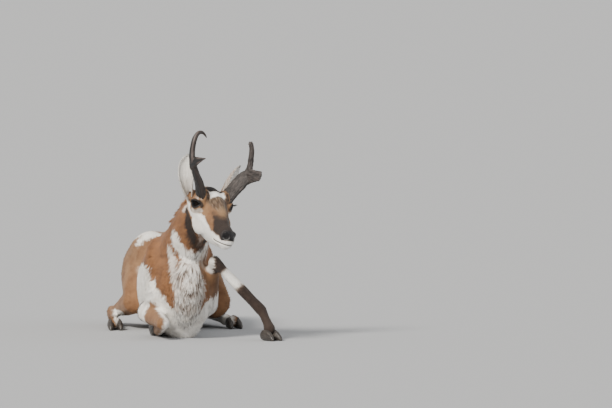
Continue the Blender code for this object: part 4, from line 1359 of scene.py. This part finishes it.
HORN_FORMS = {
    "right": (((-1.2, 4.2, 1.2, 1.6, 2.5), (-1.75, 5.0, 3.2, 1.55, 2.7), (-2.3, 6.8, 6.6, 1.35, 2.4),
               (-3.4, 9.2, 10.0, 1.1, 2.0), (-4.5, 11.2, 13.5, 0.95, 1.5), (-6.0, 11.75, 16.4, 0.85, 1.05),
               (-7.5, 11.6, 19.4, 0.8, 0.9), (-8.6, 10.6, 21.1, 0.66, 0.72), (-9.0, 9.2, 21.5, 0.52, 0.56),
               (-8.7, 7.9, 20.9, 0.36, 0.4), (-8.2, 7.2, 20.1, 0.14, 0.16)),
              ((-4.9, 11.0, 12.2, 0.8, 2.3), (-2.9, 11.0, 13.9, 0.7, 1.7), (-0.9, 10.8, 16.0, 0.45, 0.9),
               (1.2, 10.4, 18.1, 0.12, 0.18))),
    "left": (((-1.2, 4.2, 1.2, 1.6, 2.6), (-1.8, 5.0, 3.4, 1.5, 2.9), (-2.6, 6.6, 6.2, 1.25, 3.15),
              (-3.3, 8.3, 8.8, 1.05, 3.3), (-4.0, 9.8, 10.9, 1.0, 2.8), (-4.7, 10.2, 12.6, 0.9, 1.45),
              (-5.9, 10.1, 15.4, 0.8, 0.95), (-7.2, 9.8, 18.3, 0.8, 0.9), (-8.2, 9.0, 20.3, 0.68, 0.78)),
             ((-4.4, 9.6, 9.9, 0.95, 2.8), (-2.2, 9.9, 11.4, 0.85, 2.5), (0.2, 10.4, 13.2, 0.7, 2.0),
              (1.9, 10.8, 14.6, 0.45, 1.6))),
}
HORN_ROUGH = {"right": 0.0, "left": 1.0}
HORN_VOXEL = 0.0011
HORN_SIDES = 48
HORN_STEPS = 8
HORN_SOFTENING = 12
HORN_CAP = ((0.5, 0.85), (0.85, 0.5), (1.0, 0.08))


def smooth_rows(rows, steps):
    """The rows with more rows between them, along a Catmull-Rom curve."""
    rows = [np.array(row, float) for row in rows]
    ends = [rows[0]] + rows + [rows[-1]]
    out = []
    for before, start, end, after in zip(ends, ends[1:], ends[2:], ends[3:]):
        for t in (k / steps for k in range(steps)):
            bend = (2 * before - 5 * start + 4 * end - after) * t ** 2
            twist = (3 * (start - end) + after - before) * t ** 3
            out.append((2 * start + (end - before) * t + bend + twist) / 2)
    return np.array(out + [rows[-1]])


def horn_course(rows, side):
    """Along a beam or a prong: its centres, its ways ahead, across and forward, and its half sizes."""
    rows = smooth_rows(rows, HORN_STEPS)
    centres = rows_of(side_line(rows[:, :3], side))
    ahead = unit(np.gradient(centres, axis=0))
    across = unit(np.cross(ahead, np.array(FACE)))
    return centres, ahead, across, np.cross(across, ahead), rows[:, 3:] * CM


def horn_tube(rows, side):
    """A closed tube through the rows."""
    centres, ahead, across, forward, sizes = horn_course(rows, side)
    rings = [(centre, 1.0, *rest) for centre, *rest in zip(centres, across, forward, sizes)]
    for reach, scale in HORN_CAP:
        place = centres[-1] + ahead[-1] * sizes[-1].min() * 0.8 * reach
        rings.append((place, scale, across[-1], forward[-1], sizes[-1]))
    tube = bmesh.new()
    made = []
    for centre, scale, aside, front, (thick, broad) in rings:
        made.append([])
        for angle in np.linspace(0, math.tau, HORN_SIDES, endpoint=False):
            out = aside * thick * math.cos(angle) + front * broad * math.sin(angle)
            made[-1].append(tube.verts.new(centre + scale * out))
    for one, two in zip(made, made[1:]):
        for k in range(HORN_SIDES):
            after = (k + 1) % HORN_SIDES
            tube.faces.new((one[k], one[after], two[after], two[k]))
    tube.faces.new(made[0][::-1])
    tube.faces.new(made[-1])
    bmesh.ops.recalc_face_normals(tube, faces=tube.faces)
    return tube


def horn_places(points, name, side):
    """Each point's place by the nearer of the beam and the prong: aside, forward and along in
    metres, its share of the way along, how far out it is to the side of its middle, and
    whether it is the beam's."""
    best = np.full(len(points), np.inf)
    found = np.zeros((len(points), 6))
    for number, rows in enumerate(HORN_FORMS[name]):
        centres, _, across, forward, sizes = horn_course(rows, side)
        lengths, starts = parts_of(centres)
        shares = starts / lengths.sum()
        share = from_line(points, centres)[1]

        def here(values):
            return np.stack([np.interp(share, shares, column) for column in values.T], axis=1)

        offset = points - here(centres)
        thick, broad = here(sizes).T
        aside = (offset * here(across)).sum(axis=1)
        front = (offset * here(forward)).sum(axis=1)
        reach = np.hypot(aside / thick, front / broad)
        outward = (offset @ np.array(LEFT * side)) / thick
        nearer = reach < best
        best[nearer] = reach[nearer]
        rows_here = np.column_stack((aside, front, share * lengths.sum(), share, outward,
                                     np.full(len(points), 1.0 - number)))
        found[nearer] = rows_here[nearer]
    return found


def make_horns(paint):
    for name, side in SIDES.items():
        mesh = bpy.data.meshes.new("horn")
        both = bmesh.new()
        for rows in HORN_FORMS[name]:
            tube = horn_tube(rows, side)
            tube.to_mesh(mesh)
            tube.free()
            both.from_mesh(mesh)
        both.to_mesh(mesh)
        both.free()
        horn = new_thing("horn_surface_" + name, mesh)
        remesh(horn, HORN_VOXEL, HORN_SOFTENING)
        mesh = horn.data
        points, rises = places(mesh), normals(mesh)
        aside, front, along, share, outward, beam = horn_places(points, name, side).T
        rough = HORN_ROUGH[name]
        grain = np.column_stack((aside, front, along * 0.09))
        base = step(0.45, 0.05, share) * beam
        knots = waves(np.column_stack((aside, front, along * 0.45)), 0.0075, 53)
        relief = waves(grain, 0.0085, 51) * (0.0004 + 0.0004 * rough)
        relief += waves(grain, 0.0048, 52) * (0.0002 + 0.0002 * rough)
        relief += knots * (0.0005 * base + 0.0006 * rough)
        relief += rough * beam * step(0.94, 1.0, share) * waves(points, 0.011, 54) * 0.0012
        put(mesh, points + rises * relief[:, None])
        give(mesh, np.column_stack((share, np.full(len(share), rough), outward)), "horn")
        give(mesh, grain, "grain")
        triangulate(mesh)
        mesh.materials.append(paint)
        mesh.shade_smooth()
        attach(horn, "root")
        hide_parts("horn_" + name)


HOOF_VOXEL = 0.0015
HOOF_RING = 0.0042
HOOF_RELIEF = 0.00014
HOOF_FLOOR = 0.0002


def make_hooves(paint):
    for name in (leg + "_hoof_" + side for leg in LEG_LINES for side in ("left", "right")):
        hoof = melted(name + "_surface", (name,), HOOF_VOXEL, 4)
        mesh = hoof.data
        points = places(mesh)
        rings = np.sin(points[:, 2] * math.tau / HOOF_RING + waves(points, 0.03, 61))
        points += normals(mesh) * (rings * HOOF_RELIEF)[:, None]
        points[:, 2] = np.maximum(points[:, 2], HOOF_FLOOR)
        put(mesh, points)
        triangulate(mesh)
        mesh.materials.append(paint)
        mesh.shade_smooth()
        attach(hoof, "root")
        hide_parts(name)


def main():
    make_camera()
    make_light()
    make_floor()
    skin_paint = coat_paint("skin", False)
    hair_paint = coat_paint("hair", True)
    skin = make_skin(skin_paint)
    make_eyes(eye_paint())
    make_lids(skin, skin_paint)
    make_lashes(hair_paint)
    make_ears(skin_paint, hair_paint)
    make_horns(horn_paint())
    make_hooves(hoof_paint())
    grow_coat(skin, hair_paint)
    grow_mane(skin, hair_paint)


main()
